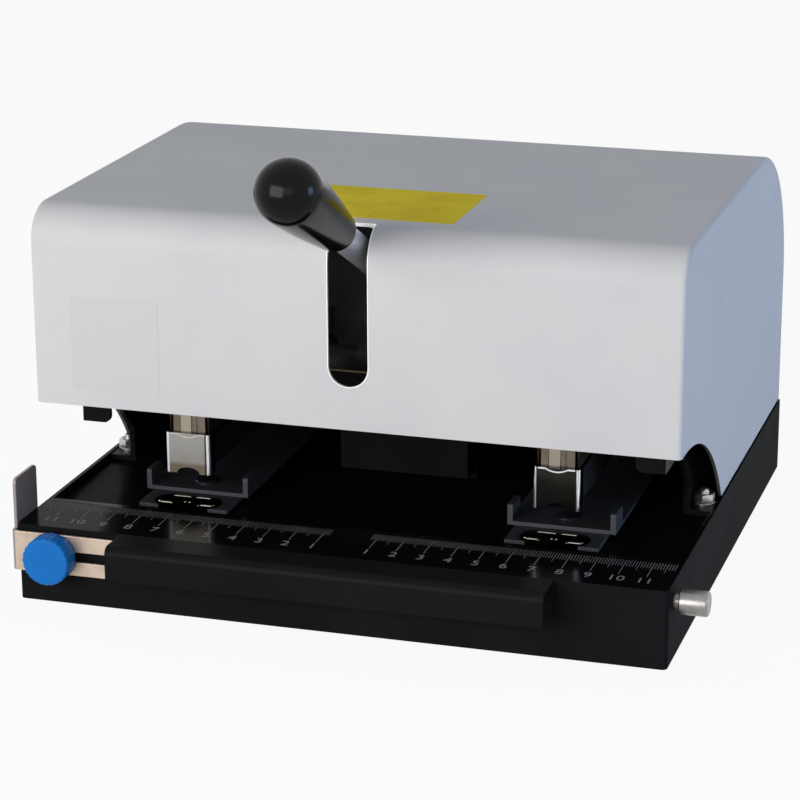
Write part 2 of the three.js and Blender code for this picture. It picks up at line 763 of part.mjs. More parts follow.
function sideFrame(side) {
  const innerX = frameHalfWidth - frameSheet;
  const legTop = floorZ + frameFrontLegHeight;
  const slopeY = frameFrontY - frameArmSlopeReach;
  const armTop = frameArmBottomZ + frameArmHeight;
  const footInner = frameHalfWidth - frameSheet;
  const plateProfile = [
    [frameFrontY, floorZ], [frameFootBackY, floorZ],
    [frameFootBackY, floorZ + frameFootStep],
    [hoodInnerRearY, frameRearFlangeBottomZ],
    [hoodInnerRearY, frameRearFlangeTopZ],
    [frameBackCornerY, frameBackCornerZ],
    [frameTopBackY, hoodInnerTopZ], [frameMastFrontY, hoodInnerTopZ],
    [frameMastFrontY, frameMastShoulderZ],
    [frameArmFrontY, armTop], [frameArmFrontY, frameArmBottomZ],
    [slopeY, frameArmBottomZ], [frameFrontY, legTop],
  ];
  const tab = filleted([
    [side * (frameHalfWidth - frameTabWidth), frameArmBottomZ, frameTabRadius],
    [side * frameHalfWidth, frameArmBottomZ, frameTabRadius],
    [side * frameHalfWidth, armTop],
    [side * (frameHalfWidth - frameTabWidth), armTop],
  ]);
  const reach = (from, to) => (side < 0 ? [-to, -from] : [from, to]);
  const flangeX = reach(frameHalfWidth - frameFlangeWidth, frameHalfWidth);
  const footX = reach(footInner, baseInsideX - slideGap);
  const boltHoles = frameBoltYs.map((y) => rod(
    "z", boltShankRadius + runningFit, floorZ - cutPast, floorZ + cutPast,
    [side * frameBoltX, y, 0], smallSides,
  ));
  const screwHoles = hoodScrewZs.map((z) => rod(
    "y", hoodScrewRadius + runningFit, -cutPast, cutPast,
    [side * hoodScrewX, hoodInnerRearY, z], smallSides,
  ));
  return cutFrom(
    joined(
      prism("x", side * innerX, side * frameHalfWidth, plateProfile),
      prism("y", frameArmFrontY, frameArmFrontY + frameSheet, tab),
      block(...footX, frameFrontY, frameFootBackY, floorZ, floorZ + frameSheet),
      block(
        ...flangeX, frameMastFrontY, frameTopBackY,
        hoodInnerTopZ - frameSheet, hoodInnerTopZ,
      ),
      block(
        ...flangeX, hoodInnerRearY - frameSheet, hoodInnerRearY,
        frameRearFlangeBottomZ, frameRearFlangeTopZ,
      ),
    ),
    ...boltHoles,
    ...screwHoles,
  );
}

// A hex nut on its washer with the screw's end standing out; zero is the clamped face
function hexFastener(grip) {
  const hexTop = boltWasherHeight + boltHexHeight;
  const cornerRadius = boltHexAcross / Math.sqrt(3);
  const below = -(grip + baseSheet + boltBelowFloor);
  const hex = circle(0, 0, cornerRadius, 6);
  return joined(
    prism("z", boltWasherHeight / 2, hexTop, hex),
    rod("z", boltWasherRadius, 0, boltWasherHeight, [0, 0, 0], roundSides),
    rod("z", boltShankRadius, below, hexTop + boltTipHeight, [0, 0, 0], smallSides),
  );
}

function leverBracket() {
  const riserFront = leverPivotY - bracketRiserSetback;
  const innerX = bracketHalfWidth - bracketSheet;
  const cheek = [
    [bracketFrontY, bracketFrontBottomZ], [bracketFootFrontY, bracketFrontBottomZ],
    [bracketFootFrontY, floorZ], [bracketBackY, floorZ],
    ...arcPoints(leverPivotY, leverPivotZ, bracketRiserSetback, 0, Math.PI, smallSides / 2),
    [riserFront, bracketFrontTopZ + bracketRiserBevel],
    [riserFront - bracketRiserBevel, bracketFrontTopZ],
    [bracketFrontY, bracketFrontTopZ],
  ];
  const footInner = innerX - bracketFootWidth;
  const parts = [
    block(
      -bracketHalfWidth, bracketHalfWidth, bracketFrontY, bracketFrontY + bracketSheet,
      bracketFrontBottomZ, bracketFrontTopZ,
    ),
    block(
      -bracketCrestHalfWidth, bracketCrestHalfWidth,
      bracketFrontY, bracketFrontY + bracketSheet, bracketFrontTopZ, bracketCrestTopZ,
    ),
  ];
  const tools = [rod(
    "x", shaftRadius + runningFit, -bracketHalfWidth - cutPast, bracketHalfWidth + cutPast,
    [0, leverPivotY, leverPivotZ],
  )];
  for (const side of [-1, 1]) {
    const footX = side < 0 ? [-innerX, -footInner] : [footInner, innerX];
    parts.push(
      prism("x", side * innerX, side * bracketHalfWidth, cheek),
      block(...footX, bracketFootFrontY, bracketBackY, floorZ, floorZ + bracketSheet),
    );
    bracketBoltYs.forEach((y) => tools.push(rod(
      "z", boltShankRadius + runningFit, floorZ - cutPast, floorZ + cutPast,
      [side * bracketBoltX, y, 0], smallSides,
    )));
  }
  return cutFrom(joined(...parts), ...tools);
}

function anvilPlate() {
  const half = anvilPlateHalfWidth;
  const seat = ellipse(
    0, clinchCentreY, clinchHalfWidth + slideGap, clinchHalfDepth + slideGap,
  );
  return cutFrom(
    block(-half, half, anvilPlateFrontY, channelBackY, floorZ, channelBottomZ),
    prism("z", floorZ - cutPast, channelBottomZ + cutPast, seat),
    rod(
      "z", boltShankRadius + runningFit, floorZ - cutPast, channelTopZ,
      [0, anvilScrewY, 0], smallSides,
    ),
  );
}

function anvilChannel() {
  const half = channelHalfWidth;
  const earTop = channelTopZ + earHeight;
  const ear = filleted([
    [channelFrontY, channelBottomZ], [channelFrontY + earLength, channelBottomZ],
    [channelFrontY + earLength, earTop, earCornerRadius],
    [channelFrontY, earTop, earCornerRadius],
  ]);
  const cheek = [
    [headPivotY - pinCheekReach, channelBottomZ], [headPivotY + pinCheekReach, channelBottomZ],
    ...arcPoints(headPivotY, headPivotZ, pinCheekRadius, 0, Math.PI, smallSides / 2),
  ];
  const parts = [block(-half, half, channelFrontY, channelBackY, channelBottomZ, channelTopZ)];
  for (const side of [-1, 1]) {
    parts.push(
      prism("x", side * (half - earSheet), side * half, ear),
      prism("x", side * pinCheekInnerX, side * pinCheekOuterX, cheek),
    );
  }
  return cutFrom(
    joined(...parts),
    rod("x", headPinRadius + runningFit, -half, half, [0, headPivotY, headPivotZ], smallSides),
    rod(
      "z", boltShankRadius + runningFit, floorZ - cutPast, channelTopZ + slideGap,
      [0, anvilScrewY, 0], smallSides,
    ),
  );
}

function clinchPlate() {
  const outline = ellipse(0, clinchCentreY, clinchHalfWidth, clinchHalfDepth);
  const grooves = [];
  const rows = [
    [clinchOuterGrooveX, clinchCentreY - clinchRowOffset],
    [clinchInnerGrooveX, clinchCentreY + clinchRowOffset],
  ];
  for (const [grooveX, y] of rows) {
    for (const side of [-1, 1]) {
      const half = clinchGrooveLength / 2 - clinchGrooveRadius;
      const centre = side * grooveX;
      const outlinePoints = capsule(centre - half, y, centre + half, y, clinchGrooveRadius, bendSteps);
      grooves.push(
        prism("z", clinchTopZ - clinchGrooveDepth, clinchTopZ + cutPast, outlinePoints),
      );
    }
  }
  return cutFrom(prism("z", floorZ, clinchTopZ, outline), ...grooves);
}

function anvilScrew() {
  const end = floorZ - baseSheet - boltBelowFloor;
  return turned("z", [
    [0, end], [boltShankRadius, end], [boltShankRadius, channelTopZ],
    [anvilScrewHeadRadius, channelTopZ],
    [anvilScrewHeadRadius * 0.9, channelTopZ + anvilScrewHeadHeight / 2],
    [anvilScrewHeadRadius / 2, channelTopZ + anvilScrewHeadHeight],
    [0, channelTopZ + anvilScrewHeadHeight],
  ], [0, anvilScrewY, 0], smallSides);
}

function headPin() {
  const shoulder = pinCheekOuterX + runningFit;
  const end = shoulder + headPinHeadWidth;
  return turned("x", [
    [0, -end], [headPinHeadRadius, -end], [headPinHeadRadius, -shoulder],
    [headPinRadius, -shoulder], [headPinRadius, shoulder],
    [headPinHeadRadius, shoulder], [headPinHeadRadius, end], [0, end],
  ], [0, headPivotY, headPivotZ], smallSides);
}

// Centre line of the return spring
class SpringPath extends THREE.Curve {
  getPoint(share, target = new THREE.Vector3()) {
    const low = channelTopZ + springSeatGap + springWireRadius;
    const high = magazineBottomZ - springSeatGap - springWireRadius;
    const angle = 2 * Math.PI * springTurns * share;
    return target.set(
      springMeanRadius * Math.cos(angle),
      springY + springMeanRadius * Math.sin(angle),
      low + (high - low) * share,
    );
  }
}

function returnSpring() {
  const path = new SpringPath();
  const wire = shapeOf(circle(0, 0, springWireRadius, springWireSides));
  const geometry = new THREE.ExtrudeGeometry(wire, {
    steps: springTurns * springStepsPerTurn,
    extrudePath: path,
    bevelEnabled: false,
  });
  return solid(geometry);
}

// Least free gap between neighbouring curls, measured on points of the centre line
function springSelfGap() {
  const path = new SpringPath();
  const samples = springTurns * springStepsPerTurn * 4;
  const points = [];
  for (let index = 0; index <= samples; index += 1) {
    points.push(path.getPoint(index / samples));
  }
  let least = Infinity;
  const halfTurn = Math.round(samples / springTurns / 2);
  points.forEach((point, index) => {
    points.slice(index + halfTurn).forEach((other) => {
      least = Math.min(least, point.distanceTo(other));
    });
  });
  return least - 2 * springWireRadius;
}

function magazine() {
  const back = headPivotY + magazineRearPast;
  const wallFront = capFrontY + capPlateSheet + magazineFrontGap;
  const floorFront = capFrontY + capPlateSheet + capWrapDepth + magazineFrontGap;
  const wallInner = magazineHalfWidth - magazineSheet;
  const wallTop = magazineBottomZ + magazineWallHeight;
  return cutFrom(
    block(
      -magazineHalfWidth, magazineHalfWidth, wallFront, back, magazineBottomZ, wallTop,
    ),
    block(
      -wallInner, wallInner, wallFront - cutPast, back + cutPast,
      magazineFloorTopZ, wallTop + cutPast,
    ),
    block(
      -wallInner, wallInner, wallFront - cutPast, floorFront,
      magazineBottomZ - cutPast, wallTop,
    ),
    rod(
      "x", headPinRadius + runningFit, -capHalfWidth, capHalfWidth,
      [0, headPivotY, headPivotZ], smallSides,
    ),
  );
}

function stapleTray() {
  const plateBack = capFrontY + capPlateSheet;
  const wrapBack = plateBack + capWrapDepth;
  const wrapInner = capHalfWidth - capWrapSheet;
  const plan = filleted([
    [-capHalfWidth, capFrontY, capCornerRadius], [capHalfWidth, capFrontY, capCornerRadius],
    [capHalfWidth, wrapBack], [wrapInner, wrapBack], [wrapInner, plateBack],
    [-wrapInner, plateBack], [-wrapInner, wrapBack], [-capHalfWidth, wrapBack],
  ]);
  const notch = ellipse(0, capBottomZ, capNotchHalfWidth, capNotchHeight);
  const railBack = railFrontY + railLength;
  const railInner = railHalfWidth - railSheet;
  const railBottom = magazineFloorTopZ + slideGap;
  const cap = cutFrom(
    prism("z", capBottomZ, capTopZ, plan),
    prism("y", capFrontY - cutPast, plateBack + runningFit, notch),
  );
  const rail = cutFrom(
    block(-railHalfWidth, railHalfWidth, railFrontY, railBack, railBottom, railTopZ),
    block(
      -railInner, railInner, railFrontY + railSheet, railBack + cutPast,
      railBottom - cutPast, railTopZ - railSheet,
    ),
  );
  const sill = block(
    -wrapInner - capWrapSheet / 2, wrapInner + capWrapSheet / 2, railFrontY, wrapBack,
    capBottomZ, trayFloorTopZ,
  );
  const riser = block(
    -railHalfWidth, railHalfWidth, railFrontY, railFrontY + railSheet, capBottomZ, railTopZ,
  );
  return joined(cap, rail, sill, riser);
}

function follower() {
  const front = railFrontY + followerFrontGap;
  const back = front + followerLength;
  const inner = railHalfWidth + slideGap;
  const outer = inner + followerSheet;
  const bottom = magazineFloorTopZ + slideGap;
  const innerTop = railTopZ + slideGap;
  return cutFrom(
    block(-outer, outer, front, back, bottom, innerTop + followerTopSheet),
    block(-inner, inner, front - cutPast, back + cutPast, bottom - cutPast, innerTop),
  );
}

function driverArm() {
  const front = bladeFrontY + bladeSheet;
  const back = headPivotY + driverRearPast;
  const inner = driverOuterX - driverSheet;
  const lugFront = headPivotY - driverLugFrontReach;
  const sideProfile = [
    [front, capTopZ], [lugFront, capTopZ],
    ...arcPoints(headPivotY, headPivotZ, driverLugRadius, Math.PI * 1.2, Math.PI * 2, bendSteps * 2),
    [back, driverTopZ], [front, driverTopZ],
  ];
  const topBottom = driverTopZ - driverTopSheet;
  const plateBottom = capTopZ + driverFrontPlateRise;
  const parts = [
    block(-driverOuterX, driverOuterX, front, back, topBottom, driverTopZ),
    block(-bladeHalfWidth, bladeHalfWidth, front, front + driverTopSheet, plateBottom, driverTopZ),
  ];
  for (const side of [-1, 1]) {
    parts.push(prism("x", side * inner, side * driverOuterX, sideProfile));
  }
  const bore = rod(
    "x", headPinRadius + runningFit, -capHalfWidth, capHalfWidth,
    [0, headPivotY, headPivotZ], smallSides,
  );
  return cutFrom(joined(...parts), bore);
}

function driverBlade() {
  return block(
    -bladeHalfWidth, bladeHalfWidth, bladeFrontY, bladeFrontY + bladeSheet,
    bladeTipZ, driverTopZ - driverTopSheet,
  );
}

function leverShaft() {
  const shoulder = bracketHalfWidth + runningFit;
  const end = shoulder + shaftHeadWidth;
  return turned("x", [
    [0, -end], [shaftHeadRadius, -end], [shaftHeadRadius, -shoulder],
    [shaftRadius, -shoulder], [shaftRadius, shoulder],
    [shaftHeadRadius, shoulder], [shaftHeadRadius, end], [0, end],
  ], [0, leverPivotY, leverPivotZ]);
}

// The lever's own pieces lie along minus Y, below the shaft, before the lever is tilted
const leverLine = [0, 0, -leverLineDrop];

function leverHub() {
  return cutFrom(
    joined(
      rod("x", hubRadius, -armInnerX, armInnerX),
      rod("y", hubBossRadius, -hubBossReach, 0, leverLine),
    ),
    rod("x", shaftRadius + runningFit, -bracketHalfWidth, bracketHalfWidth),
    rod("y", rodRadius + runningFit, -hubBossReach - cutPast, -hubRodSeat, leverLine),
  );
}

function leverRod() {
  const end = gripStart + gripBoreDepth - runningFit;
  return rod("y", rodRadius, -end, -hubRodSeat - runningFit, leverLine);
}

function leverGrip() {
  const dome = arcPoints(
    0, -(gripStart + gripLength), gripEndRadius, 0, -Math.PI / 2, gripDomeSteps,
  );
  dome[dome.length - 1][0] = 0;
  const body = turned("y", [
    [0, -gripStart], [gripNeckRadius - gripNeckRounding, -gripStart],
    [gripNeckRadius, -gripStart - gripNeckRounding], ...dome,
  ], leverLine);
  const bore = rod("y", rodRadius + runningFit, -(gripStart + gripBoreDepth), 0, leverLine);
  return cutFrom(body, bore);
}

// The crank's pieces are placed from the shaft, in the part's own directions
function yokeArm(side) {
  const outline = capsule(0, 0, -crankReach, -crankDrop, armRadius);
  const far = bracketHalfWidth;
  return cutFrom(
    prism("x", side * armInnerX, side * armOuterX, outline),
    rod("x", shaftRadius + runningFit, -far, far),
    rod("x", pressBarRadius + runningFit, -far, far, [0, -crankReach, -crankDrop]),
  );
}

function pressBar() {
  const end = headCentreX + pressBarOverhang;
  const neck = pressBarRadius - pressBarBevel;
  return turned("x", [
    [0, -end], [neck, -end], [pressBarRadius, -end + pressBarBevel],
    [pressBarRadius, end - pressBarBevel], [neck, end], [0, end],
  ], [0, -crankReach, -crankDrop]);
}

function placed(mesh, x, y, z) {
  mesh.position.set(x, y, z);
  return mesh;
}

// One stapling head, drawn about its own middle plane
function head(tag, centreX) {
  const group = new THREE.Group();
  group.name = `head_${tag}`;
  group.position.x = centreX;
  group.add(
    piece(`anvil_plate_${tag}`, anvilPlate(), "greyPaint"),
    piece(`anvil_channel_${tag}`, anvilChannel(), "greyPaint"),
    piece(`clinch_plate_${tag}`, clinchPlate(), "darkSteel"),
    piece(`anvil_screw_${tag}`, anvilScrew(), "zincSteel"),
    piece(`head_pin_${tag}`, headPin(), "zincSteel"),
    piece(`return_spring_${tag}`, returnSpring(), "springSteel"),
    piece(`magazine_${tag}`, magazine(), "darkSteel"),
    piece(`staple_tray_${tag}`, stapleTray(), "chrome"),
    piece(`follower_${tag}`, follower(), "darkSteel"),
    piece(`driver_arm_${tag}`, driverArm(), "nickel"),
    piece(`driver_blade_${tag}`, driverBlade(), "nickel"),
  );
  return group;
}

function lever() {
  const tilted = new THREE.Group();
  tilted.name = "lever_line";
  tilted.position.set(0, leverPivotY, leverPivotZ);
  tilted.rotation.x = -THREE.MathUtils.degToRad(leverRestDegrees);
  tilted.add(
    piece("lever_hub", leverHub(), "darkSteel"),
    piece("lever_rod", leverRod(), "chrome"),
    piece("lever_grip", leverGrip(), "blackPlastic"),
  );
  return tilted;
}

function crank() {
  const group = new THREE.Group();
  group.name = "crank";
  group.position.set(0, leverPivotY, leverPivotZ);
  group.add(
    piece("yoke_arm_left", yokeArm(-1), "darkSteel"),
    piece("yoke_arm_right", yokeArm(1), "darkSteel"),
    piece("press_bar", pressBar(), "darkSteel"),
  );
  return group;
}

function fasteners() {
  const meshes = [];
  const sides = [["left", -1], ["right", 1]];
  const places = [["front", 0], ["rear", 1]];
  for (const [sideName, side] of sides) {
    for (const [placeName, index] of places) {
      const frameBolt = piece(
        `frame_bolt_${sideName}_${placeName}`, hexFastener(frameSheet), "zincSteel",
      );
      meshes.push(placed(frameBolt, side * frameBoltX, frameBoltYs[index], floorZ + frameSheet));
      const bracketBolt = piece(
        `bracket_bolt_${sideName}_${placeName}`, hexFastener(bracketSheet), "zincSteel",
      );
      meshes.push(placed(
        bracketBolt, side * bracketBoltX, bracketBoltYs[index], floorZ + bracketSheet,
      ));
      const screw = piece(`hood_screw_${sideName}_${index + 1}`, hoodScrew(), "zincSteel");
      meshes.push(placed(screw, side * hoodScrewX, baseDepth, hoodScrewZs[index]));
      const footMesh = piece(`foot_${sideName}_${placeName}`, foot(), "blackRubber");
      const footY = index === 0 ? footInset : baseDepth - footInset;
      meshes.push(placed(footMesh, side * (baseWidth / 2 - footInset), footY, bottomPlateRaise));
    }
  }
  return meshes;
}

function assembly() {
  const stapler = new THREE.Group();
  stapler.name = "stapler";
  stapler.add(
    piece("base_pan", basePan(), "blackPaint"),
    piece("bottom_plate", bottomPlate(), "blackPaint"),
    piece("front_rail_cover", frontRailCover(), "blackPaint"),
    piece("side_guide", sideGuide(), "brushedSteel"),
    piece("clamp_stud", clampStud(), "zincSteel"),
    piece("steady_pin", steadyPin(), "zincSteel"),
    piece("cover_rivet", coverRivet(), "zincSteel"),
    placed(piece("clamp_knob", clampKnob(), "bluePlastic"), clampX, 0, guideSlotZ),
    piece("side_pin", sidePin(), "zincSteel"),
    piece("side_frame_left", sideFrame(-1), "blackPaint"),
    piece("side_frame_right", sideFrame(1), "blackPaint"),
    piece("lever_bracket", leverBracket(), "greyPaint"),
    piece("lever_shaft", leverShaft(), "zincSteel"),
    piece("hood_wrap", hoodWrap(), "silverPaint"),
    piece("hood_panel_left", hoodPanel(-1), "silverPaint"),
    piece("hood_panel_right", hoodPanel(1), "silverPaint"),
    head("left", -headCentreX),
    head("right", headCentreX),
    lever(),
    crank(),
    ...fasteners(),
  );
  return stapler;
}

// The finished part stands on the origin: the middle of its bounding box, at its lowest point
function standOnOrigin(group) {
  group.updateMatrixWorld(true);
  const bounds = new THREE.Box3().setFromObject(group, true);
  const middle = bounds.getCenter(new THREE.Vector3());
  group.position.set(-middle.x, -middle.y, -bounds.min.z);
}

console.log(`least gap between spring curls: ${springSelfGap().toFixed(2)} mm`);

const stapler = assembly();
standOnOrigin(stapler);
const part = new THREE.Group();
part.name = "double_head_stapler";
part.add(stapler);

export default part;
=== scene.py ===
# %% [markdown]
# This lesson dresses a double head stapler: a pale hood over a shallow black tray, two stapling heads under
# the hood, and one lever that closes both. The CAD model comes in as a fixed frame that already moves. Each
# step below takes one piece of the real object, says how it is made and finished, and builds its skin.
# Sizes are written in millimetres from the middle of the tray's front face, at the tray's lower edge.

# %% Load the frame
import json
import math

import bmesh
import bpy
import numpy as np
from mathutils import Matrix, Vector


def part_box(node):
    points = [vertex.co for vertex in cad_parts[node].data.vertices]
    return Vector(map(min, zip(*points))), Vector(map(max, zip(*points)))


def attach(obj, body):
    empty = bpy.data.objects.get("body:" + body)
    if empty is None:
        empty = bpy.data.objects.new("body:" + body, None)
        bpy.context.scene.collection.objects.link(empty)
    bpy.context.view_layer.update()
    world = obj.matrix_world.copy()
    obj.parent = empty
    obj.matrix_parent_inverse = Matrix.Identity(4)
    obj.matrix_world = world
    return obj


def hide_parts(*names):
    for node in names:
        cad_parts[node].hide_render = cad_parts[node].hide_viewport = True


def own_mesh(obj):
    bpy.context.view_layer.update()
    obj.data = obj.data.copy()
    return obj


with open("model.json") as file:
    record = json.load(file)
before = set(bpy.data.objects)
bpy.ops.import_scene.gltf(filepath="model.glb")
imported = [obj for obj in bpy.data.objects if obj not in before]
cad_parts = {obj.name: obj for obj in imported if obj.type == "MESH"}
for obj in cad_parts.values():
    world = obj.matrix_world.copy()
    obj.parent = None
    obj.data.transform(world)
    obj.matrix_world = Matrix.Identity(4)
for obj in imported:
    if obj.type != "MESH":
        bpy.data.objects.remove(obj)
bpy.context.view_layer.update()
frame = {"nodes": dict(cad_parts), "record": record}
nodes = frame["nodes"]
print("CAD nodes:", len(nodes))

# %% [markdown]
# The tray's lowest left corner ties the millimetre drawing to the frame, so nothing here depends on where
# the whole object stands. The tray is 240 mm wide, and its front face is the plane y = 0.

# %% Tie the drawing to the frame
MM = 0.001
WELD = 0.002 * MM
SIDES, ENDS = ("left", "right"), ("front", "rear")
tray_low, tray_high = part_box("base_pan")
TRAY_WIDTH = (tray_high.x - tray_low.x) / MM
TRAY_DEPTH = (tray_high.y - tray_low.y) / MM
TRAY_TOP = (tray_high.z - tray_low.z) / MM
ORIGIN = np.array([tray_low.x + TRAY_WIDTH / 2 * MM, tray_low.y, tray_low.z])


def in_frame(points):
    """Points in metres in the frame: the drawing's millimetres, scaled and moved to the tray's corner."""
    return np.asarray(points, float) * MM + ORIGIN


def drawn(node):
    """A CAD node's lowest and highest corners in the drawing's millimetres."""
    low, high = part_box(node)
    return (np.array(low) - ORIGIN) / MM, (np.array(high) - ORIGIN) / MM


def upright_line(low, high):
    """The point at z = 0 on the upright line through a box's middle."""
    return np.array([(low[0] + high[0]) / 2, (low[1] + high[1]) / 2, 0.0])


def both_sides(stem):
    """The names of a left and a right piece."""
    return [f"{stem}_{side}" for side in SIDES]


def in_scene(name, data):
    """A new object of the scene."""
    thing = bpy.data.objects.new(name, data)
    bpy.context.scene.collection.objects.link(thing)
    return thing


print(f"tray {TRAY_WIDTH:.1f} x {TRAY_DEPTH:.1f} x {TRAY_TOP:.1f} mm")

# %% [markdown]
# Every new skin is a set of grids. A grid is a function of two parameters worked out as one array, and its
# faces join each point to its neighbours. The class below gathers grids and flat outlines, welds their seams
# and turns the faces outwards.

# %% Gather grids into one skin
class Skin:
    """Grids and outlines of points in millimetres, gathered to make one mesh."""

    def __init__(self):
        self.points = []
        self.faces = []
        self.count = 0

    def add(self, points, faces):
        """Adds points, and faces that count from the first of them."""
        self.points.append(points)
        self.faces += [[corner + self.count for corner in face] for face in faces]
        self.count += len(points)
        return self

    def grid(self, points, close_columns=False):
        """Adds rows by columns of points; face (i, j) joins row i to i + 1 and column j to j + 1."""
        points = np.asarray(points, float)
        rows, columns = points.shape[:2]
        i = np.arange(rows - 1)[:, None]
        j = np.arange(columns if close_columns else columns - 1)[None, :]
        j2 = (j + 1) % columns
        corners = [i * columns + j, i * columns + j2, (i + 1) * columns + j2, (i + 1) * columns + j]
        quads = np.stack([np.broadcast_to(c, (i.size, j.size)).ravel() for c in corners], 1)
        return self.add(points.reshape(-1, 3), quads.tolist())

    def outline(self, ring):
        """Adds one flat face from a closed ring of points."""
        return self.add(np.asarray(ring, float), [range(len(ring))])

    def bars(self, low, high):
        """Adds closed bars, one for each row of low and high corners."""
        low, high = np.asarray(low, float), np.asarray(high, float)
        pick = np.array([[i, j, k] for i in (0, 1) for j in (0, 1) for k in (0, 1)])
        points = np.where(pick[None] == 1, high[:, None], low[:, None])
        quads = np.array([
            [0, 1, 3, 2], [4, 6, 7, 5], [0, 4, 5, 1], [2, 3, 7, 6], [0, 2, 6, 4], [1, 5, 7, 3],
        ])
        start = len(pick) * np.arange(len(low))[:, None, None]
        return self.add(points.reshape(-1, 3), (start + quads[None]).reshape(-1, 4).tolist())

    def mesh(self, name, outwards=True, finish=None):
        """The welded mesh in metres."""
        mesh = bpy.data.meshes.new(name)
        mesh.from_pydata(in_frame(np.concatenate(self.points)).tolist(), [], self.faces)
        work = bmesh.new()
        work.from_mesh(mesh)
        bmesh.ops.remove_doubles(work, verts=work.verts, dist=WELD)
        if outwards:
            bmesh.ops.recalc_face_normals(work, faces=work.faces)
        work.to_mesh(mesh)
        work.free()
        if finish is not None:
            mesh.materials.append(finish.material)
        return mesh


def make_piece(name, mesh, body, finish, replaced=(), sharp_degrees=32):
    """Puts a mesh in the scene on its body, smooth but for the edges that bend more than the angle. With
    no finish, the mesh keeps the finishes it has."""
    mesh.polygons.foreach_set("use_smooth", np.ones(len(mesh.polygons), bool))
    mesh.set_sharp_from_angle(angle=math.radians(sharp_degrees))
    piece = in_scene(name, mesh)
    if finish is not None:
        mesh.materials.clear()
        mesh.materials.append(finish.material)
    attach(piece, body)
    if replaced:
        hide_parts(*replaced)
    return piece


def skin_over(node, skin, body, finish, sharp_degrees=32):
    """Puts a skin in the place of one CAD node."""
    name = f"{node}_skin"
    return make_piece(name, skin.mesh(name), body, finish, (node,), sharp_degrees)


def even_normals(piece):
    """Lets the large flat faces set the shading where they meet a narrow bend."""
    weighted = piece.modifiers.new("even_normals", "WEIGHTED_NORMAL")
    weighted.keep_sharp = True
    return piece

# %% [markdown]
# A turned piece is a profile carried once round an axis: point (s, angle) = centre + axis * distance(s)
# + radius(s) * (side * cos angle + up * sin angle). Steel pins, the rod and the grip are all made so.

# %% Turn a profile round an axis
UPRIGHT_FROM = 0.9


def turned(profile, centre, axis, sides=96, ripple=None):
    """Surface of a turned piece. The profile lists (distance, radius); ripple(radius, angle) gives the
    radius at each angle."""
    axis = np.array(axis, float) / np.linalg.norm(axis)
    upright = abs(axis[2]) >= UPRIGHT_FROM
    side = np.array([1.0, 0.0, 0.0]) if upright else np.cross(axis, [0.0, 0.0, 1.0])
    side = side / np.linalg.norm(side)
    up = np.cross(side, axis)
    distance, radius = np.asarray(profile, float).T
    angle = np.linspace(0, 2 * math.pi, sides, endpoint=False)
    reach = radius[:, None] * np.ones(sides)[None, :]
    if ripple is not None:
        reach = ripple(radius[:, None], angle[None, :])
    points = (
        np.asarray(centre, float)
        + axis * distance[:, None, None]
        + reach[..., None] * (side * np.cos(angle)[:, None] + up * np.sin(angle)[:, None])
    )
    return Skin().grid(points, close_columns=True)


def bend(centre, radius, start, end, steps=8):
    """Points (a, b) of an arc between two angles given in degrees."""
    angle = np.radians(np.linspace(start, end, steps + 1))
    return np.stack([centre[0] + radius * np.cos(angle), centre[1] + radius * np.sin(angle)], 1)

# %% [markdown]
# A sheet metal piece whose CAD solid has the right shape still needs its cut edges broken, because no real
# edge is perfectly sharp and the thin light line along it is what makes it read as metal. A copy of the
# solid is welded, its flat faces are joined again and a narrow bevel finishes it. Where the real sheet is
# bent instead of cut, chosen edges get a wider bevel: each edge carries its share of the widest one.

# %% Break the edges of a copied solid
FLAT_DEGREES, CUT_DEGREES = 0.5, 35


def softened(node, finish, slot, body, width, segments=2, bent=None, bend_width=0.0):
    """A welded copy of a node with rounded edges; bent(starts, ends) picks the edges with the wider bend."""
    mesh = nodes[node].data.copy()
    work = bmesh.new()
    work.from_mesh(mesh)
    bmesh.ops.remove_doubles(work, verts=work.verts, dist=WELD)
    bmesh.ops.dissolve_limit(
        work, angle_limit=math.radians(FLAT_DEGREES), verts=work.verts, edges=work.edges,
    )
    work.to_mesh(mesh)
    work.free()
    piece = make_piece(f"{node}_skin", mesh, body, finish, (node,), CUT_DEGREES)
    count = len(mesh.edges)
    ends, sharp = np.empty(2 * count, int), np.empty(count, bool)
    points = np.empty(3 * len(mesh.vertices))
    mesh.edges.foreach_get("vertices", ends)
    mesh.attributes["sharp_edge"].data.foreach_get("value", sharp)
    mesh.vertices.foreach_get("co", points)
    pairs = ((points.reshape(-1, 3) - ORIGIN) / MM)[ends.reshape(-1, 2)]
    widest = max(width, bend_width)
    share = np.where(sharp, width / widest, 0.0)
    if bent is not None:
        share = np.where(sharp & bent(pairs[:, 0], pairs[:, 1]), bend_width / widest, share)
    weights = mesh.attributes.new("bevel_weight_edge", "FLOAT", "EDGE")
    weights.data.foreach_set("value", share.astype(np.float32))
    bevel = piece.modifiers.new("broken_edges", "BEVEL")
    bevel.width = widest * MM
    bevel.segments = segments
    bevel.limit_method = "WEIGHT"
    bevel.harden_normals = True
    return even_normals(piece)

# %% [markdown]
# Shader maths is written as plain sums. A Wire is one output of a node, and adding or multiplying Wires adds
# the Math nodes that do it. Nodes has one method for every other kind of node, and a Finish is the Nodes of
# one material round its Principled shader.

# %% Write materials as sums
UPWARD, SIDEWAYS = (0.6, 0.95), (0.3, 0.5)


def math_node(operation, swapped=False):
    """A method of Wire that adds one Math node, with the other value first if swapped."""
    def method(wire, *others):
        values = (*others, wire) if swapped else (wire, *others)
        return wire.nodes.node("ShaderNodeMath", {"operation": operation}, *values)
    return method


